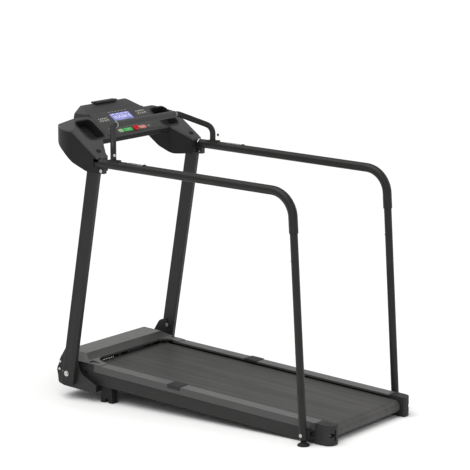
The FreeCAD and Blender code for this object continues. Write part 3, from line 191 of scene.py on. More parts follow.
coatedLooks = {
    "powderCoat": {"dark": (0.0095, 0.0095, 0.0097), "light": (0.0138, 0.0138, 0.014),
                   "edge": (0.05, 0.05, 0.05), "wear": 0.3, "rough": (0.38, 0.5), "specular": 0.26,
                   "grain": 0.0011, "depth": 0.00007},
    "railCoat": {"dark": (0.0105, 0.0103, 0.01), "light": (0.0152, 0.015, 0.0146), "rough": (0.36, 0.47),
                 "specular": 0.26, "grain": 0.0009, "depth": 0.00006},
    "deckPaint": {"dark": (0.0088, 0.0086, 0.0084), "light": (0.013, 0.0128, 0.0125),
                  "edge": (0.05, 0.05, 0.049), "wear": 0.3, "rough": (0.42, 0.55), "specular": 0.24,
                  "grain": 0.0012, "depth": 0.00006},
    # the foot rails' top colours are a painted highlight on faces that look straight up, standing in for the
    # backdrop's reflection
    "footRailPlastic": {"dark": (0.010, 0.010, 0.010), "light": (0.0145, 0.0145, 0.0143),
                        "top": (0.115, 0.116, 0.114), "topHighlightDull": (0.075, 0.076, 0.075),
                        "edge": (0.12, 0.12, 0.118), "wear": 0.4, "rough": (0.3, 0.46), "specular": 0.4,
                        "grain": 0.0008, "depth": 0.00009, "stretch": (1, 0.3, 1)},
    "blackPlastic": {"dark": (0.010, 0.010, 0.010), "light": (0.015, 0.015, 0.015),
                     "edge": (0.045, 0.045, 0.045), "wear": 0.3, "rough": (0.42, 0.56), "specular": 0.24,
                     "grain": 0.0008, "depth": 0.00009},
    # the hood's top colours are a painted highlight on faces that look straight up, standing in for the backdrop's
    # reflection
    "hoodPlastic": {"dark": (0.024, 0.024, 0.0235), "light": (0.033, 0.033, 0.032),
                    "top": (0.135, 0.135, 0.128), "topHighlightDull": (0.095, 0.095, 0.091),
                    "edge": (0.13, 0.13, 0.125), "wear": 0.35, "rough": (0.30, 0.42), "specular": 0.5,
                    "grain": 0.0009, "depth": 0.00008},
    "consolePlastic": {"dark": (0.030, 0.030, 0.030), "light": (0.040, 0.040, 0.0395),
                       "edge": (0.09, 0.09, 0.09), "wear": 0.35, "rough": (0.42, 0.54), "specular": 0.3,
                       "grain": 0.0007, "depth": 0.00008},
    "shellPlastic": {"dark": (0.0065, 0.0065, 0.0065), "light": (0.0095, 0.0095, 0.0095),
                     "rough": (0.48, 0.6), "specular": 0.22, "grain": 0.0008, "depth": 0.00009},
    "overlayFilm": {"dark": (0.034, 0.034, 0.033), "light": (0.042, 0.042, 0.041), "rough": (0.26, 0.36),
                    "specular": 0.4, "grain": 0.0005, "depth": 0.00002, "round": 0.0004},
    "blackRubber": {"dark": (0.008, 0.008, 0.008), "light": (0.013, 0.013, 0.0125),
                    "rough": (0.62, 0.78), "specular": 0.25, "grain": 0.0015, "depth": 0.0001},
    "motorEnamel": {"dark": (0.012, 0.012, 0.014), "light": (0.018, 0.018, 0.02), "rough": (0.3, 0.42),
                    "grain": 0.0014, "depth": 0.00008, "coat": 0.3},
    "circuitBoard": {"dark": (0.008, 0.055, 0.02), "light": (0.014, 0.085, 0.03), "rough": (0.3, 0.45),
                     "grain": 0.0009, "depth": 0.00005, "driftSize": 0.012},
    "greenKey": {"dark": (0.03, 0.42, 0.08), "light": (0.05, 0.52, 0.11), "rough": (0.3, 0.4),
                 "grain": 0.0006, "depth": 0.00003, "round": 0.0008, "coat": 0.15},
    "paleGreenKey": {"dark": (0.27, 0.44, 0.22), "light": (0.34, 0.52, 0.28), "rough": (0.3, 0.4),
                     "grain": 0.0006, "depth": 0.00003, "round": 0.0008, "coat": 0.15},
    "redKey": {"dark": (0.56, 0.15, 0.14), "light": (0.64, 0.20, 0.18), "rough": (0.3, 0.4),
               "grain": 0.0006, "depth": 0.00003, "round": 0.0008, "coat": 0.15},
    "greyKey": {"dark": (0.055, 0.055, 0.054), "light": (0.068, 0.068, 0.066), "rough": (0.3, 0.4),
                "grain": 0.0006, "depth": 0.00003, "round": 0.0008, "coat": 0.15},
    "safetyRed": {"dark": (0.55, 0.012, 0.012), "light": (0.65, 0.02, 0.018), "rough": (0.25, 0.36),
                  "grain": 0.0008, "depth": 0.00003, "round": 0.0008, "coat": 0.25},
    "paleMarking": {"dark": (0.48, 0.47, 0.44), "light": (0.56, 0.55, 0.52), "rough": (0.4, 0.5),
                    "grain": 0.0005, "depth": 0.00001, "round": 0.0002},
    "darkGroove": {"dark": (0.004, 0.004, 0.004), "light": (0.006, 0.006, 0.006), "rough": (0.7, 0.8),
                   "grain": 0.001, "depth": 0.00003, "round": 0.0002},
    "trayMat": {"dark": (0.006, 0.006, 0.006), "light": (0.009, 0.009, 0.009), "rough": (0.6, 0.75),
                "grain": 0.0009, "depth": 0.0001, "round": 0.0004},
}

metalLooks = {
    "zincSteel": {"dark": (0.52, 0.52, 0.50), "light": (0.70, 0.70, 0.68), "rough": (0.18, 0.34),
                  "lines": (1, 1, 1), "grain": 0.0012, "depth": 0.00002},
    "rollerSteel": {"dark": (0.36, 0.36, 0.36), "light": (0.48, 0.48, 0.48), "rough": (0.25, 0.42),
                    "lines": (8, 0.6, 0.6), "grain": 0.004, "depth": 0.00002},
    "castFlywheel": {"dark": (0.10, 0.10, 0.105), "light": (0.17, 0.17, 0.175), "rough": (0.35, 0.55),
                     "lines": (5, 1, 1), "grain": 0.003, "depth": 0.00004},
    "castAluminium": {"dark": (0.42, 0.42, 0.42), "light": (0.56, 0.56, 0.56), "rough": (0.3, 0.46),
                      "lines": (5, 1, 1), "grain": 0.003, "depth": 0.00004},
}


# walking belt: woven rubber with a fine diamond relief, painted shade in its hollows and painted highlight on its
# raised lines, and long scuffs the way it runs
beltLook = {"dark": (0.040, 0.0393, 0.038), "light": (0.056, 0.055, 0.053), "scuff": (0.092, 0.090, 0.086),
            "streaks": (26, 1.1, 1), "clouds": (1, 0.45, 1), "cloudSize": 0.11, "scuffShare": 0.4,
            # darker and lighter diamond factors: painted shade where the relief sinks and painted highlight where
            # it rises
            "diamond": 0.0042, "slant": 32, "valleyShade": 0.78, "ridgeHighlight": 1.25, "depth": 0.0003,
            "rough": (0.40, 0.54), "specular": 0.4}
waveTurn = 0.314  # a band texture of scale 1 repeats after this length


def beltSurface():
    material, tree, shader = newTree("beltRubber")
    scuffs = noise(tree, objectSpace(tree, beltLook["streaks"]), 1.0, 5, 0.62)
    clouds = noise(tree, objectSpace(tree, beltLook["clouds"]), beltLook["cloudSize"], 4, 0.6)
    cloudy = ramp(tree, clouds, "Fac", 0, 1, 0.3, 0.7)
    base = mixColors(tree, cloudy, "Result", beltLook["dark"], beltLook["light"])
    scuffed = ramp(tree, scuffs, "Fac", 0, beltLook["scuffShare"], 0.45, 0.85)
    streaked = mixColors(tree, scuffed, "Result", base, beltLook["scuff"])
    heights = []
    for side in (1, -1):
        slant = objectSpace(tree, (1, 1, 0), (0, 0, side * math.radians(beltLook["slant"])))
        bands = {"Scale": waveTurn / beltLook["diamond"], "Distortion": 0.0}
        wave = addNode(tree, "ShaderNodeTexWave", bands,
                       wave_type="BANDS", bands_direction="X", wave_profile="SIN")
        join(tree, slant, "Vector", wave, "Vector")
        heights.append(wave)
    diamonds = addNode(tree, "ShaderNodeMath", operation="MULTIPLY")
    join(tree, heights[0], "Fac", diamonds, 0)
    join(tree, heights[1], "Fac", diamonds, 1)
    # the colour is multiplied darker where the diamond relief sinks and lighter where it rises: painted shade and
    # painted highlight following the bump
    valleyShade, ridgeHighlight = (beltLook["valleyShade"],) * 3, (beltLook["ridgeHighlight"],) * 3
    reliefShading = mixColors(tree, diamonds, "Value", valleyShade, ridgeHighlight)
    paint(tree, shader, mixColors(tree, None, None, streaked, reliefShading, "MULTIPLY"))
    low, high = beltLook["rough"]
    drive(tree, shader, scuffs, "Fac", "Roughness", high, low, 0.35, 0.75)
    bump(tree, shader, diamonds, "Value", beltLook["depth"])
    shader.inputs["Specular IOR Level"].default_value = beltLook["specular"]
    return material


# closed-cell foam: soft pores of two sizes and a dusty sheen
foamLook = {"dark": (0.0075, 0.0075, 0.008), "light": (0.0125, 0.0125, 0.013), "pore": 0.0011,
            "poreShare": 0.5, "cell": 0.0042, "depth": 0.00035, "rough": (0.55, 0.72), "sheen": 0.12,
            "sheenRough": 0.6}


def foamSurface():
    material, tree, shader = newTree("gripFoam")
    space = objectSpace(tree)
    cells = addNode(tree, "ShaderNodeTexVoronoi", {"Scale": 1 / foamLook["pore"]})
    join(tree, space, "Vector", cells, "Vector")
    lumps = noise(tree, space, foamLook["cell"], 3, 0.6)
    height = addNode(tree, "ShaderNodeMath", operation="MULTIPLY_ADD")
    join(tree, cells, "Distance", height, 0)
    height.inputs[1].default_value = foamLook["poreShare"]
    join(tree, lumps, "Fac", height, 2)
    shade = ramp(tree, lumps, "Fac", 0, 1)
    paint(tree, shader, mixColors(tree, shade, "Result", foamLook["dark"], foamLook["light"]))
    drive(tree, shader, lumps, "Fac", "Roughness", *foamLook["rough"])
    bump(tree, shader, height, "Value", foamLook["depth"])
    shader.inputs["Sheen Weight"].default_value = foamLook["sheen"]
    shader.inputs["Sheen Roughness"].default_value = foamLook["sheenRough"]
    return material


# black-faced fibreboard: pressed flecks, paler at random
woodLook = {"dark": (0.018, 0.015, 0.012), "light": (0.038, 0.031, 0.024), "fleck": 0.003,
            "stretch": (1, 0.35, 3), "rough": (0.4, 0.6), "depth": 0.00008, "round": 0.0008}


def boardSurface():
    material, tree, shader = newTree("fibreboard")
    flecks = noise(tree, objectSpace(tree, woodLook["stretch"]), woodLook["fleck"], 5, 0.7)
    shade = ramp(tree, flecks, "Fac", 0, 1, 0.35, 0.7)
    paint(tree, shader, mixColors(tree, shade, "Result", woodLook["dark"], woodLook["light"]))
    drive(tree, shader, flecks, "Fac", "Roughness", *woodLook["rough"])
    bump(tree, shader, flecks, "Fac", woodLook["depth"], woodLook["round"])
    return material


# lit display window: blue-lavender backlight, uneven from lamp to lamp
windowLook = {"deep": (0.15, 0.155, 0.40), "pale": (0.27, 0.28, 0.58), "glow": 0.22, "lamp": 0.03,
              "grain": 0.0006, "rough": (0.14, 0.24)}


def windowSurface():
    material, tree, shader = newTree("litWindow")
    lamps = noise(tree, objectSpace(tree, (1, 1.4, 1.4)), windowLook["lamp"], 2, 0.5)
    factor = ramp(tree, lamps, "Fac", 0, 1, 0.3, 0.7)
    color = mixColors(tree, factor, "Result", windowLook["deep"], windowLook["pale"])
    paint(tree, shader, color, "Base Color", "Emission Color")
    shader.inputs["Emission Strength"].default_value = windowLook["glow"]
    grain = noise(tree, objectSpace(tree), windowLook["grain"], 2, 0.5)
    drive(tree, shader, grain, "Fac", "Roughness", *windowLook["rough"])
    bump(tree, shader, grain, "Fac", 0.00001, 0.0003)
    return material


# the digits are paler than the window behind them, and glow more strongly
digitLook = {"dark": (0.60, 0.61, 0.86), "light": (0.72, 0.73, 0.95), "glow": 0.4,
             "cell": 0.004, "rough": 0.3}


def digitSurface():
    material, tree, shader = newTree("paleDigits")
    cells = noise(tree, objectSpace(tree), digitLook["cell"], 2, 0.5)
    color = mixColors(tree, ramp(tree, cells, "Fac", 0, 1), "Result", digitLook["dark"], digitLook["light"])
    paint(tree, shader, color, "Base Color", "Emission Color")
    shader.inputs["Emission Strength"].default_value = digitLook["glow"]
    shader.inputs["Roughness"].default_value = digitLook["rough"]
    return material


finishes = {name: coated(name, look) for name, look in coatedLooks.items()}
finishes.update({name: bareMetal(name, look) for name, look in metalLooks.items()})
finishes["beltRubber"] = beltSurface()
finishes["gripFoam"] = foamSurface()
finishes["fibreboard"] = boardSurface()
finishes["litWindow"] = windowSurface()
finishes["paleDigits"] = digitSurface()
print("materials:", len(finishes))

# the finish that each of the record's material slots gets
slotFinish = {
    "powder_black": "powderCoat", "rail_paint": "railCoat", "deck_steel": "deckPaint",
    "foot_rail_plastic": "footRailPlastic", "black_plastic": "blackPlastic", "hood_grey": "hoodPlastic",
    "console_plastic": "consolePlastic", "shell_plastic": "shellPlastic", "panel_overlay": "overlayFilm",
    "lcd_glass": "litWindow", "belt_fabric": "beltRubber", "board_wood": "fibreboard",
    "black_rubber": "blackRubber", "foam": "gripFoam", "bright_steel": "zincSteel",
    "roller_steel": "rollerSteel", "cast_flywheel": "castFlywheel", "motor_paint": "motorEnamel",
    "board_green": "circuitBoard", "alu_cast": "castAluminium", "key_green": "greenKey", "key_red": "redKey",
    "key_grey": "greyKey", "safety_red": "safetyRed",
}

for part in frame["record"]["subparts"]:
    finish = finishes[slotFinish[part["material_slot"]]]
    for slot in nodes[part["node"]].material_slots:
        slot.material = finish

# the slower key is a paler green than the start key
for slot in nodes["speed_down_key"].material_slots:
    slot.material = finishes["paleGreenKey"]


# helpers for meshes: every piece is a run of rings joined by faces

def placed(origin, across, up):
    # matrix whose local x is across, y is up, and z points out of the surface
    x = Vector(across).normalized()
    z = x.cross(Vector(up)).normalized()
    y = z.cross(x)
    matrix = Matrix((x, y, z)).transposed().to_4x4()
    matrix.translation = Vector(origin)
    return matrix


def loft(mesh, rings, place, closed=False):
    rows = [[mesh.verts.new(place @ Vector(point)) for point in ring] for ring in rings]
    pairs = list(zip(rows, rows[1:]))
    if closed:
        pairs.append((rows[-1], rows[0]))
    for lower, upper in pairs:
        for i in range(len(lower)):
            j = (i + 1) % len(lower)
            mesh.faces.new((lower[i], lower[j], upper[j], upper[i]))
    if not closed:
        mesh.faces.new(rows[0][::-1])
        mesh.faces.new(rows[-1])


def roundedRing(width, height, radius, z, steps=5):
    ring = []
    for corner in range(4):
        cx = (width / 2 - radius) * (1, -1, -1, 1)[corner]
        cy = (height / 2 - radius) * (1, 1, -1, -1)[corner]
        for step in range(steps + 1):
            turn = math.radians(90 * (corner + step / steps))
            ring.append((cx + radius * math.cos(turn), cy + radius * math.sin(turn), z))
    return ring


def softPlate(mesh, place, width, height, thick, radius, rim):
    rings = [roundedRing(width, height, radius, 0)]
    for step in range(4):
        turn = math.radians(30 * step)
        inset = rim * (1 - math.cos(turn))
        level = thick - rim + rim * math.sin(turn)
        rings.append(roundedRing(width - 2 * inset, height - 2 * inset, radius - inset * 0.5, level))
    loft(mesh, rings, place)


def circle(radius, z, turns):
    return [(radius * math.cos(2 * math.pi * i / turns), radius * math.sin(2 * math.pi * i / turns), z)
            for i in range(turns)]


def lathe(mesh, profile, place, turns=48, closed=False):
    loft(mesh, [circle(radius, z, turns) for radius, z in profile], place, closed)


def addPiece(name, mesh, finish, body, smooth=40):
    bmesh.ops.recalc_face_normals(mesh, faces=mesh.faces)
    data = bpy.data.meshes.new(name)
    mesh.to_mesh(data)
    mesh.free()
    data.materials.append(finishes[finish])
    data.shade_smooth()
    data.set_sharp_from_angle(angle=math.radians(smooth))
    piece = bpy.data.objects.new(name, data)
    bpy.context.scene.collection.objects.link(piece)
    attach(piece, body)
    return piece


# the console's sloping face: x across, s up the slope from its upper edge, n out of it
out = Vector(joints["safety_key_pull"]["axis"])
across = Vector((1, 0, 0))
upSlope = out.cross(across)
panelThick = 0.003
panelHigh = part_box("display_panel")[1]
faceTop = Vector((0, panelHigh.y + out.y * panelThick, panelHigh.z))


def onFace(x, s, n=0.0):
    return placed(faceTop + across * x + upSlope * s + out * n, across, upSlope)


# display: seven-segment digits in four fields, each under a caption bar
display = {"digit": (0.0068, 0.0140), "stroke": 0.0018, "thick": 0.0003, "pitch": 0.0088, "fieldGap": 0.0295,
           "numbers": ("120", "345", "068", "210"), "center": -0.039, "sunk": -0.0004, "digitDrop": 0.002,
           "round": 0.0006, "rim": 0.0001, "caption": (0.020, 0.0022), "captionRise": 0.0155}
segments = {"0": "abcdef", "1": "bc", "2": "abged", "3": "abgcd", "4": "fgbc", "5": "afgcd", "6": "afgedc",
            "8": "abcdefg"}


def segmentPlates(digit, x, s):
    width, height = display["digit"]
    stroke = display["stroke"]
    half = height / 2
    spots = {"a": (0, half, 1), "g": (0, 0, 1), "d": (0, -half, 1), "b": (width / 2, half / 2, 0),
             "c": (width / 2, -half / 2, 0), "e": (-width / 2, -half / 2, 0), "f": (-width / 2, half / 2, 0)}
    plates = []
    for name in segments[digit]:
        dx, ds, level = spots[name]
        size = (width - stroke * 1.2, stroke) if level else (stroke, half - stroke * 1.2)
        plates.append((x + dx, s + ds, size))
    return plates


def displayDigits():
    mesh = bmesh.new()
    sunk, thick, corner, rim = display["sunk"], display["thick"], display["round"], display["rim"]
    for field, number in enumerate(display["numbers"]):
        middle = (field - 1.5) * display["fieldGap"]
        for place, digit in enumerate(number):
            x = middle + (place - 1) * display["pitch"]
            for px, ps, size in segmentPlates(digit, x, display["center"] - display["digitDrop"]):
                softPlate(mesh, onFace(px, ps, sunk), *size, thick, corner, rim)
        # small caption bar above each number
        caption = onFace(middle, display["center"] + display["captionRise"], sunk)
        softPlate(mesh, caption, *display["caption"], thick, corner, rim)
    return addPiece("display_digits", mesh, "paleDigits", "frame")


displayDigits()


# raised frame round the display window
bezel = {"wide": 0.0022, "low": 0.0006, "high": 0.0009, "corner": 0.003, "inset": 0.003}


def displayFrame():
    mesh = bmesh.new()
    low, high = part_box("lcd_screen")
    width = high.x - low.x
    height = (high - low).dot(upSlope) - bezel["inset"]
    rim, edge, top = bezel["wide"], bezel["low"], bezel["high"]
    rings = []
    for grow, level in ((0, 0), (0, edge), (rim * 0.3, top), (rim * 0.7, top), (rim, edge), (rim, 0)):
        rings.append(roundedRing(width + 2 * grow, height + 2 * grow, bezel["corner"] + grow, level))
    loft(mesh, rings, onFace(0, display["center"]), closed=True)
    return addPiece("display_frame", mesh, "blackPlastic", "frame")


displayFrame()

# printed key labels and guide lines of the control panel, as thin raised ink
labels = {
    "blocks": (
        {"x": (-0.158, -0.094), "rows": (-0.0365, -0.0485), "bars": (5, 4)},
        {"x": (0.106, 0.170), "rows": (-0.0265, -0.0405), "bars": (5, 4)},
    ),
    "shares": (0.72, 0.5, 0.62, 0.8), "barTall": 0.0036, "barRound": 0.0012,
    "ruleDrop": 0.0055, "ruleTall": 0.0008, "ruleRound": 0.0003,
    "ticks": 6, "tickStart": -0.055, "tickPitch": 0.022, "tickRow": -0.0085, "tick": (0.012, 0.0016),
    "tickRound": 0.0005, "line": (0.30, 0.0009), "lineRow": -0.0985, "lineRound": 0.0004, "ink": 0.00018,
}


def panelLabels():
    mesh = bmesh.new()
    ink, rim = labels["ink"], labels["ink"] / 2
    for block in labels["blocks"]:
        start, end = block["x"]
        for row, count in zip(block["rows"], block["bars"]):
            pitch = (end - start) / count
            for bar in range(count):
                width = pitch * labels["shares"][(bar + count) % 4]
                place = onFace(start + pitch * (bar + 0.5), row)
                softPlate(mesh, place, width, labels["barTall"], ink, labels["barRound"], rim)
            rule = onFace((start + end) / 2, row - labels["ruleDrop"])
            softPlate(mesh, rule, end - start, labels["ruleTall"], ink, labels["ruleRound"], rim)
    for tick in range(labels["ticks"]):
        place = onFace(labels["tickStart"] + labels["tickPitch"] * tick, labels["tickRow"])
        softPlate(mesh, place, *labels["tick"], ink, labels["tickRound"], rim)
    softPlate(mesh, onFace(0, labels["lineRow"]), *labels["line"], ink, labels["lineRound"], rim)
    return addPiece("panel_labels", mesh, "paleMarking", "frame")


panelLabels()

# key symbols: arrow, square, plus and minus stand on the caps and travel with them
keySigns = {"start_key": "arrow", "stop_key": "square", "speed_up_key": "plus", "speed_down_key": "minus"}
mark = {"size": 0.0085, "bar": 0.24, "square": 0.8, "thick": 0.0002, "cross": 0.00022, "round": 0.0004,
        "squareRound": 0.0006, "rim": 0.0001}


def keySign(node, sign):
    low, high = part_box(node)
    middle = (low + high) / 2
    top = max((vertex.co - faceTop).dot(out) for vertex in nodes[node].data.vertices)
    s = (middle - faceTop).dot(upSlope)
    mesh = bmesh.new()
    place = onFace(middle.x, s, top)
    size, thick, corner, rim = mark["size"], mark["thick"], mark["round"], mark["rim"]
    if sign == "arrow":
        ring = [(-size * 0.4, size * 0.5), (-size * 0.4, -size * 0.5), (size * 0.55, 0)]
        loft(mesh, [[(x, y, z) for x, y in ring] for z in (0, thick)], place)
    if sign == "square":
        side = size * mark["square"]
        softPlate(mesh, place, side, side, thick, mark["squareRound"], rim)
    if sign in ("plus", "minus"):
        softPlate(mesh, place, size, size * mark["bar"], thick, corner, rim)
    if sign == "plus":
        softPlate(mesh, place, size * mark["bar"], size, mark["cross"], corner, rim)
    return addPiece(node.replace("key", "sign"), mesh, "paleMarking", node)


for node, sign in keySigns.items():
    keySign(node, sign)
print("console face: digits, labels and key signs")

# foam sleeve of the cross handlebar, crowned, with soft rounded ends
sleeve = {"crown": 0.0004, "endRound": 0.006, "endDrop": 0.8, "wave": 0.00012, "waves": (210, 477),
          "waveShare": 0.6, "waveShift": 1.1, "bore": 0.0127, "thinner": 0.0003, "dip": 0.0004,
          "lip": 0.001, "rows": 96, "turns": 56}


def sleeveWave(x):
    # two overlapping ripples along the foam, in radians per metre
    slow, fast = sleeve["waves"]
    ripple = sleeve["waveShare"] * math.sin(x * fast + sleeve["waveShift"])
    return sleeve["wave"] * (math.sin(x * slow) + ripple)


def foamSleeve():
    low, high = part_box("foam_grip")
    half = (high.x - low.x) / 2
    radius = (high.z - low.z) / 2 - sleeve["thinner"]
    bore = sleeve["bore"]
    profile = [(bore, -half + sleeve["lip"])]
    for row in range(sleeve["rows"] + 1):
        x = -half + 2 * half * row / sleeve["rows"]
        easing = min((half - abs(x)) / sleeve["endRound"], 1)
        shrink = (radius - bore) * (1 - math.sqrt(1 - (1 - easing) ** 2)) * sleeve["endDrop"]
        crown = sleeve["crown"] * (1 - (x / half) ** 2)
        profile.append((radius - sleeve["dip"] - shrink + crown + sleeveWave(x), x))
    profile.append((bore, half - sleeve["lip"]))
    mesh = bmesh.new()
    lathe(mesh, profile, placed((low + high) / 2, (0, 1, 0), (0, 0, 1)), sleeve["turns"], closed=True)
    piece = addPiece("foam_sleeve", mesh, "gripFoam", "frame", 60)
    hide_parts("foam_grip")
    return piece


foamSleeve()

# bright collars that close the sleeve's two ends
collar = {"wide": 0.0052, "under": 0.0026, "bulge": 0.0004, "taper": 0.0012, "overlap": 0.0004,
          "bore": 0.0124, "turns": 48}


def gripCollars():
    low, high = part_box("foam_grip")
    center = (low + high) / 2
    outer = (high.z - low.z) / 2 - collar["under"]
    wide, bore = collar["wide"], collar["bore"]
    profile = [(bore, 0), (outer, 0), (outer + collar["bulge"], wide * 0.3), (outer, wide * 0.75),
               (outer - collar["taper"], wide), (bore, wide)]
    mesh = bmesh.new()
    for side in (-1, 1):
        end = Vector((side * (high.x - collar["overlap"]), center.y, center.z))
        lathe(mesh, profile, placed(end, (0, 1, 0), (0, 0, side)), collar["turns"], closed=True)
    return addPiece("grip_collars", mesh, "castAluminium", "frame")


gripCollars()
print("handlebar: foam sleeve and collars")


# tray mats: ribbed rubber pads lying on the tray floors
mat = {"floor": 0.0021, "near": 0.002, "inset": 0.010, "thick": 0.0022, "corner": 0.012, "rim": 0.001,
       "ribs": 9, "ribWide": 0.0035, "ribTall": 0.0012, "ribShare": 0.88, "ribCorner": 0.0015,
       "ribRim": 0.0008}


def trayMat(side):
    # the tray's lowest points give the size and place of its floor
    spots = [(vertex.co.x, (vertex.co - faceTop).dot(upSlope), (vertex.co - faceTop).dot(out))
             for vertex in nodes["tray_" + side].data.vertices]
    floor = min(n for x, s, n in spots) + mat["floor"]
    deep = [(x, s) for x, s, n in spots if n < floor + mat["near"]]
    x0, x1 = min(x for x, s in deep), max(x for x, s in deep)
    s0, s1 = min(s for x, s in deep), max(s for x, s in deep)
    width, height = x1 - x0 - 2 * mat["inset"], s1 - s0 - 2 * mat["inset"]
    x, s = (x0 + x1) / 2, (s0 + s1) / 2
    mesh = bmesh.new()
    softPlate(mesh, onFace(x, s, floor), width, height, mat["thick"], mat["corner"], mat["rim"])
    for rib in range(mat["ribs"]):
        place = onFace(x, s - height / 2 + height * (rib + 0.5) / mat["ribs"], floor + mat["thick"])
        softPlate(mesh, place, width * mat["ribShare"], mat["ribWide"], mat["ribTall"], mat["ribCorner"],
                  mat["ribRim"])
    return addPiece("tray_mat_" + side, mesh, "trayMat", "frame")


for side in ("right", "left"):
    trayMat(side)
print("trays: ribbed mats")


# seam rings round the rear legs, a little below the handrail's sleeve
seam = {"height": 0.745, "wide": 0.0022, "proud": 0.0003, "sunk": 0.001}


def legRing(side):
    low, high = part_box("rail_leg_" + side)
    legRadius = (high.x - low.x) / 2
    axis = Vector(joints["foot_%s_screw" % side]["axis"])
    foot = Vector(((low.x + high.x) / 2, low.y + legRadius, low.z))
    spot = foot - axis * (seam["height"] - low.z) / -axis.z
    inner, outer = legRadius - seam["sunk"], legRadius + seam["proud"]
    half = seam["wide"] / 2
    profile = [(inner, -half), (outer, -half * 0.7), (outer, half * 0.7), (inner, half)]
    mesh = bmesh.new()
    lathe(mesh, profile, placed(spot, (1, 0, 0), axis.cross(across)), 40, closed=True)
    return addPiece("leg_seam_" + side, mesh, "darkGroove", "frame")


for side in ("right", "left"):
    legRing(side)


# plugs bedded in the rear end of each console arm, each with a raised middle
plug = {"x": 0.321, "y": 0.447, "above": 1.3, "wide": 0.027, "long": 0.019, "thick": 0.0022, "round": 0.0092,
        "rim": 0.0012, "sunk": 0.0004, "middle": (0.6, 0.5), "middleTall": 0.0006, "middleRim": 0.0004}
coverMesh = nodes["console_cover"].data
coverTree = BVHTree.FromPolygons([vertex.co for vertex in coverMesh.vertices],
                                 [face.vertices[:] for face in coverMesh.polygons])


def armPlugs():
    mesh = bmesh.new()
    wide, long, thick = plug["wide"], plug["long"], plug["thick"]
    for side in (-1, 1):
        above = Vector((side * plug["x"], plug["y"], plug["above"]))
        spot, normal = coverTree.ray_cast(above, Vector((0, 0, -1)))[:2]
        uphill = normal.cross(across)
        level = uphill.cross(normal)
        base = placed(spot - normal * plug["sunk"], level, uphill)
        softPlate(mesh, base, wide, long, thick, plug["round"], plug["rim"])
        top = placed(spot + normal * (thick - plug["sunk"]), level, uphill)
        softPlate(mesh, top, wide * plug["middle"][0], long * plug["middle"][1], plug["middleTall"],
                  plug["round"] * 0.5, plug["middleRim"])
    return addPiece("arm_plugs", mesh, "blackRubber", "frame")


armPlugs()

# handrail tops: a bright sensor plate curved over each tube, closed by a dark tab at its rear end
railLine = {"rearY": -0.549, "rearZ": 1.015, "run": 0.9651, "climb": 0.029, "radius": 0.019}
railPlate = {"front": 0.268, "rear": 0.190, "spread": 26, "thick": 0.0013, "tab": 0.007, "tabThick": 0.0034,
             "tabSpread": 29, "sunk": 0.0003, "ease": 0.0015, "easeThick": 0.4, "easeSpread": 2}
railAxis = Vector((0, railLine["run"], railLine["climb"])).normalized()
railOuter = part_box("handrail_right")[1].x


def railTube(side, y):
    # matrix in the middle of a handrail: local y is up, and z points to the rear along the tube
    z = railLine["rearZ"] + (y - railLine["rearY"]) * railLine["climb"] / railLine["run"]
    turned = Matrix((across, across.cross(railAxis), -railAxis)).transposed()
    return Matrix.Translation((side * (railOuter - railLine["radius"]), y, z)) @ turned.to_4x4()


def arcRing(inner, outer, spread, z, steps=10):
    turns = [math.radians(90 - spread + 2 * spread * i / steps) for i in range(steps + 1)]
    ring = [(outer * math.cos(turn), outer * math.sin(turn), z) for turn in turns]
    return ring + [(inner * math.cos(turn), inner * math.sin(turn), z) for turn in reversed(turns)]


def railStrip(name, finish, start, end, thick, spread):
    radius, ease = railLine["radius"], railPlate["ease"]
    eased, full = (railPlate["easeThick"], railPlate["easeSpread"]), (1, 0)
    levels = ((start, eased), (start + ease, full), (end - ease, full), (end, eased))
    rings = [arcRing(radius - railPlate["sunk"], radius + thick * share, spread - tuck, z)
             for z, (share, tuck) in levels]
    mesh = bmesh.new()
    for side in (-1, 1):
        loft(mesh, rings, railTube(side, railPlate["front"]))
    return addPiece(name, mesh, finish, "frame")


plateLength = railPlate["front"] - railPlate["rear"]
railStrip("rail_plates", "rollerSteel", 0, plateLength,
          railPlate["thick"], railPlate["spread"])
railStrip("rail_tabs", "blackPlastic", plateLength, plateLength + railPlate["tab"],
          railPlate["tabThick"], railPlate["tabSpread"])

# domed bolts that lock the handlebar's posts to their sockets
postBolt = {"z": 1.086, "washer": 0.0062, "washerTall": 0.0008, "head": 0.0044, "headFoot": 0.0010,
            "tall": 0.0032, "sunk": 0.0004, "postRadius": 0.0125, "turns": 32,
            "dome": ((1, 0.5), (0.9, 0.8), (0.6, 1), (0.3, 1), (0.26, 0.6))}


def postBolts():
    low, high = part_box("handlebar")
    washer, head, tall = postBolt["washer"], postBolt["head"], postBolt["tall"]
    profile = [(washer, 0), (washer, postBolt["washerTall"]), (head, postBolt["headFoot"])]
    profile += [(head * wide, tall * rise) for wide, rise in postBolt["dome"]]
    mesh = bmesh.new()
    for side in (-1, 1):
        spot = Vector((side * (high.x - postBolt["sunk"]), low.y + postBolt["postRadius"], postBolt["z"]))
        lathe(mesh, profile, placed(spot, (0, side, 0), (0, 0, 1)), postBolt["turns"])
    return addPiece("post_bolts", mesh, "zincSteel", "frame")


postBolts()
print("arms and handrails: plugs, plates and bolts")


# stage: pale floor and soft studio light
stage = {"floor": (0.90, 0.90, 0.895), "drift": 0.985, "driftSize": 1.5, "floorRough": 0.75,
         "floorSpecular": 0.1, "reach": 60, "room": (1.0, 1.0, 0.995),
         "world": 0.5, "backdrop": 1.0, "sky": 2.3, "skySpread": 62, "skyWay": (0.35, -0.15, -1)}
lamps = {
    "front_lamp": {"spot": (-3.6, -3.4, 2.8), "target": (0, 0, 0.6), "size": 2.4, "power": 34},
    "side_lamp": {"spot": (3.2, -2.6, 2.4), "target": (0, 0, 0.5), "size": 2.0, "power": 24},
}


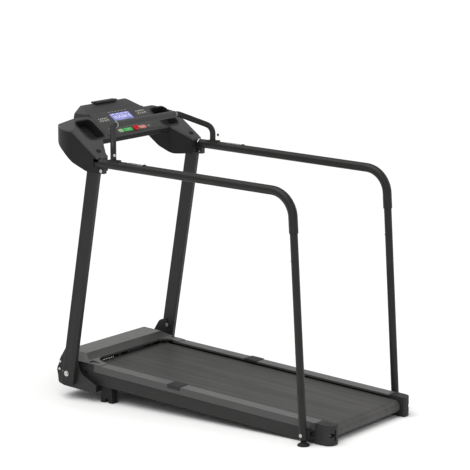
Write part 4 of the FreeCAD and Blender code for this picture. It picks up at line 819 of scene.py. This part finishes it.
def floorSurface():
    material, tree, shader = newTree("studioFloor")
    drift = noise(tree, objectSpace(tree), stage["driftSize"], 2, 0.5)
    low = tuple(value * stage["drift"] for value in stage["floor"])
    paint(tree, shader, mixColors(tree, ramp(tree, drift, "Fac", 0, 1), "Result", low, stage["floor"]))
    shader.inputs["Roughness"].default_value = stage["floorRough"]
    shader.inputs["Specular IOR Level"].default_value = stage["floorSpecular"]
    return material


def addFloor():
    mesh = bmesh.new()
    bmesh.ops.create_grid(mesh, x_segments=1, y_segments=1, size=stage["reach"])
    data = bpy.data.meshes.new("studio_floor")
    mesh.to_mesh(data)
    mesh.free()
    data.materials.append(floorSurface())
    floor = bpy.data.objects.new("studio_floor", data)
    bpy.context.scene.collection.objects.link(floor)


def addWorld():
    # the room lights softly, while the backdrop seen behind the object stays white
    world = bpy.data.worlds.new("studio")
    bpy.context.scene.world = world
    world.use_nodes = True
    tree = world.node_tree
    background = tree.nodes["Background"]
    background.inputs["Color"].default_value = (*stage["room"], 1)
    path = addNode(tree, "ShaderNodeLightPath")
    level = ramp(tree, path, "Is Camera Ray", stage["world"], stage["backdrop"], 0, 1)
    join(tree, level, "Result", background, "Strength")
    bpy.context.scene.view_settings.view_transform = "Standard"


def addLight(name, kind, power, way, spot=(0, 0, 0)):
    data = bpy.data.lights.new(name, kind)
    data.energy = power
    lamp = bpy.data.objects.new(name, data)
    lamp.location = spot
    lamp.rotation_euler = Vector(way).to_track_quat("-Z", "Y").to_euler()
    bpy.context.scene.collection.objects.link(lamp)
    return data


addFloor()
addWorld()
# one broad overhead light keeps the floor even to the horizon
addLight("sky_lamp", "SUN", stage["sky"], stage["skyWay"]).angle = math.radians(stage["skySpread"])
for name, lamp in lamps.items():
    way = Vector(lamp["target"]) - Vector(lamp["spot"])
    disk = addLight(name, "AREA", lamp["power"], way, lamp["spot"])
    disk.shape = "DISK"
    disk.size = lamp["size"]

# camera: placed by its direction, its distance and where the object sits in the frame
shot = {"turn": -54.081, "rise": 10.856, "distance": 9.4639, "right": -0.3207, "up": 0.2749,
        "target": (0, -0.419, 0.5), "lens": 176.2, "sensor": 36, "far": 200}


def addCamera():
    turn = math.radians(shot["turn"])
    rise = math.radians(shot["rise"])
    right = Vector((math.cos(turn), math.sin(turn), 0))
    back = Vector((math.sin(turn) * math.cos(rise), -math.cos(turn) * math.cos(rise), math.sin(rise)))
    up = back.cross(right)
    spot = Vector(shot["target"]) + right * shot["right"] + up * shot["up"] + back * shot["distance"]
    matrix = Matrix((right, up, back)).transposed().to_4x4()
    matrix.translation = spot
    data = bpy.data.cameras.new("camera")
    data.lens = shot["lens"]
    data.sensor_width = shot["sensor"]
    data.clip_end = shot["far"]
    camera = bpy.data.objects.new("camera", data)
    camera.matrix_world = matrix
    bpy.context.scene.collection.objects.link(camera)
    bpy.context.scene.camera = camera


addCamera()
print("stage, lamps and camera")
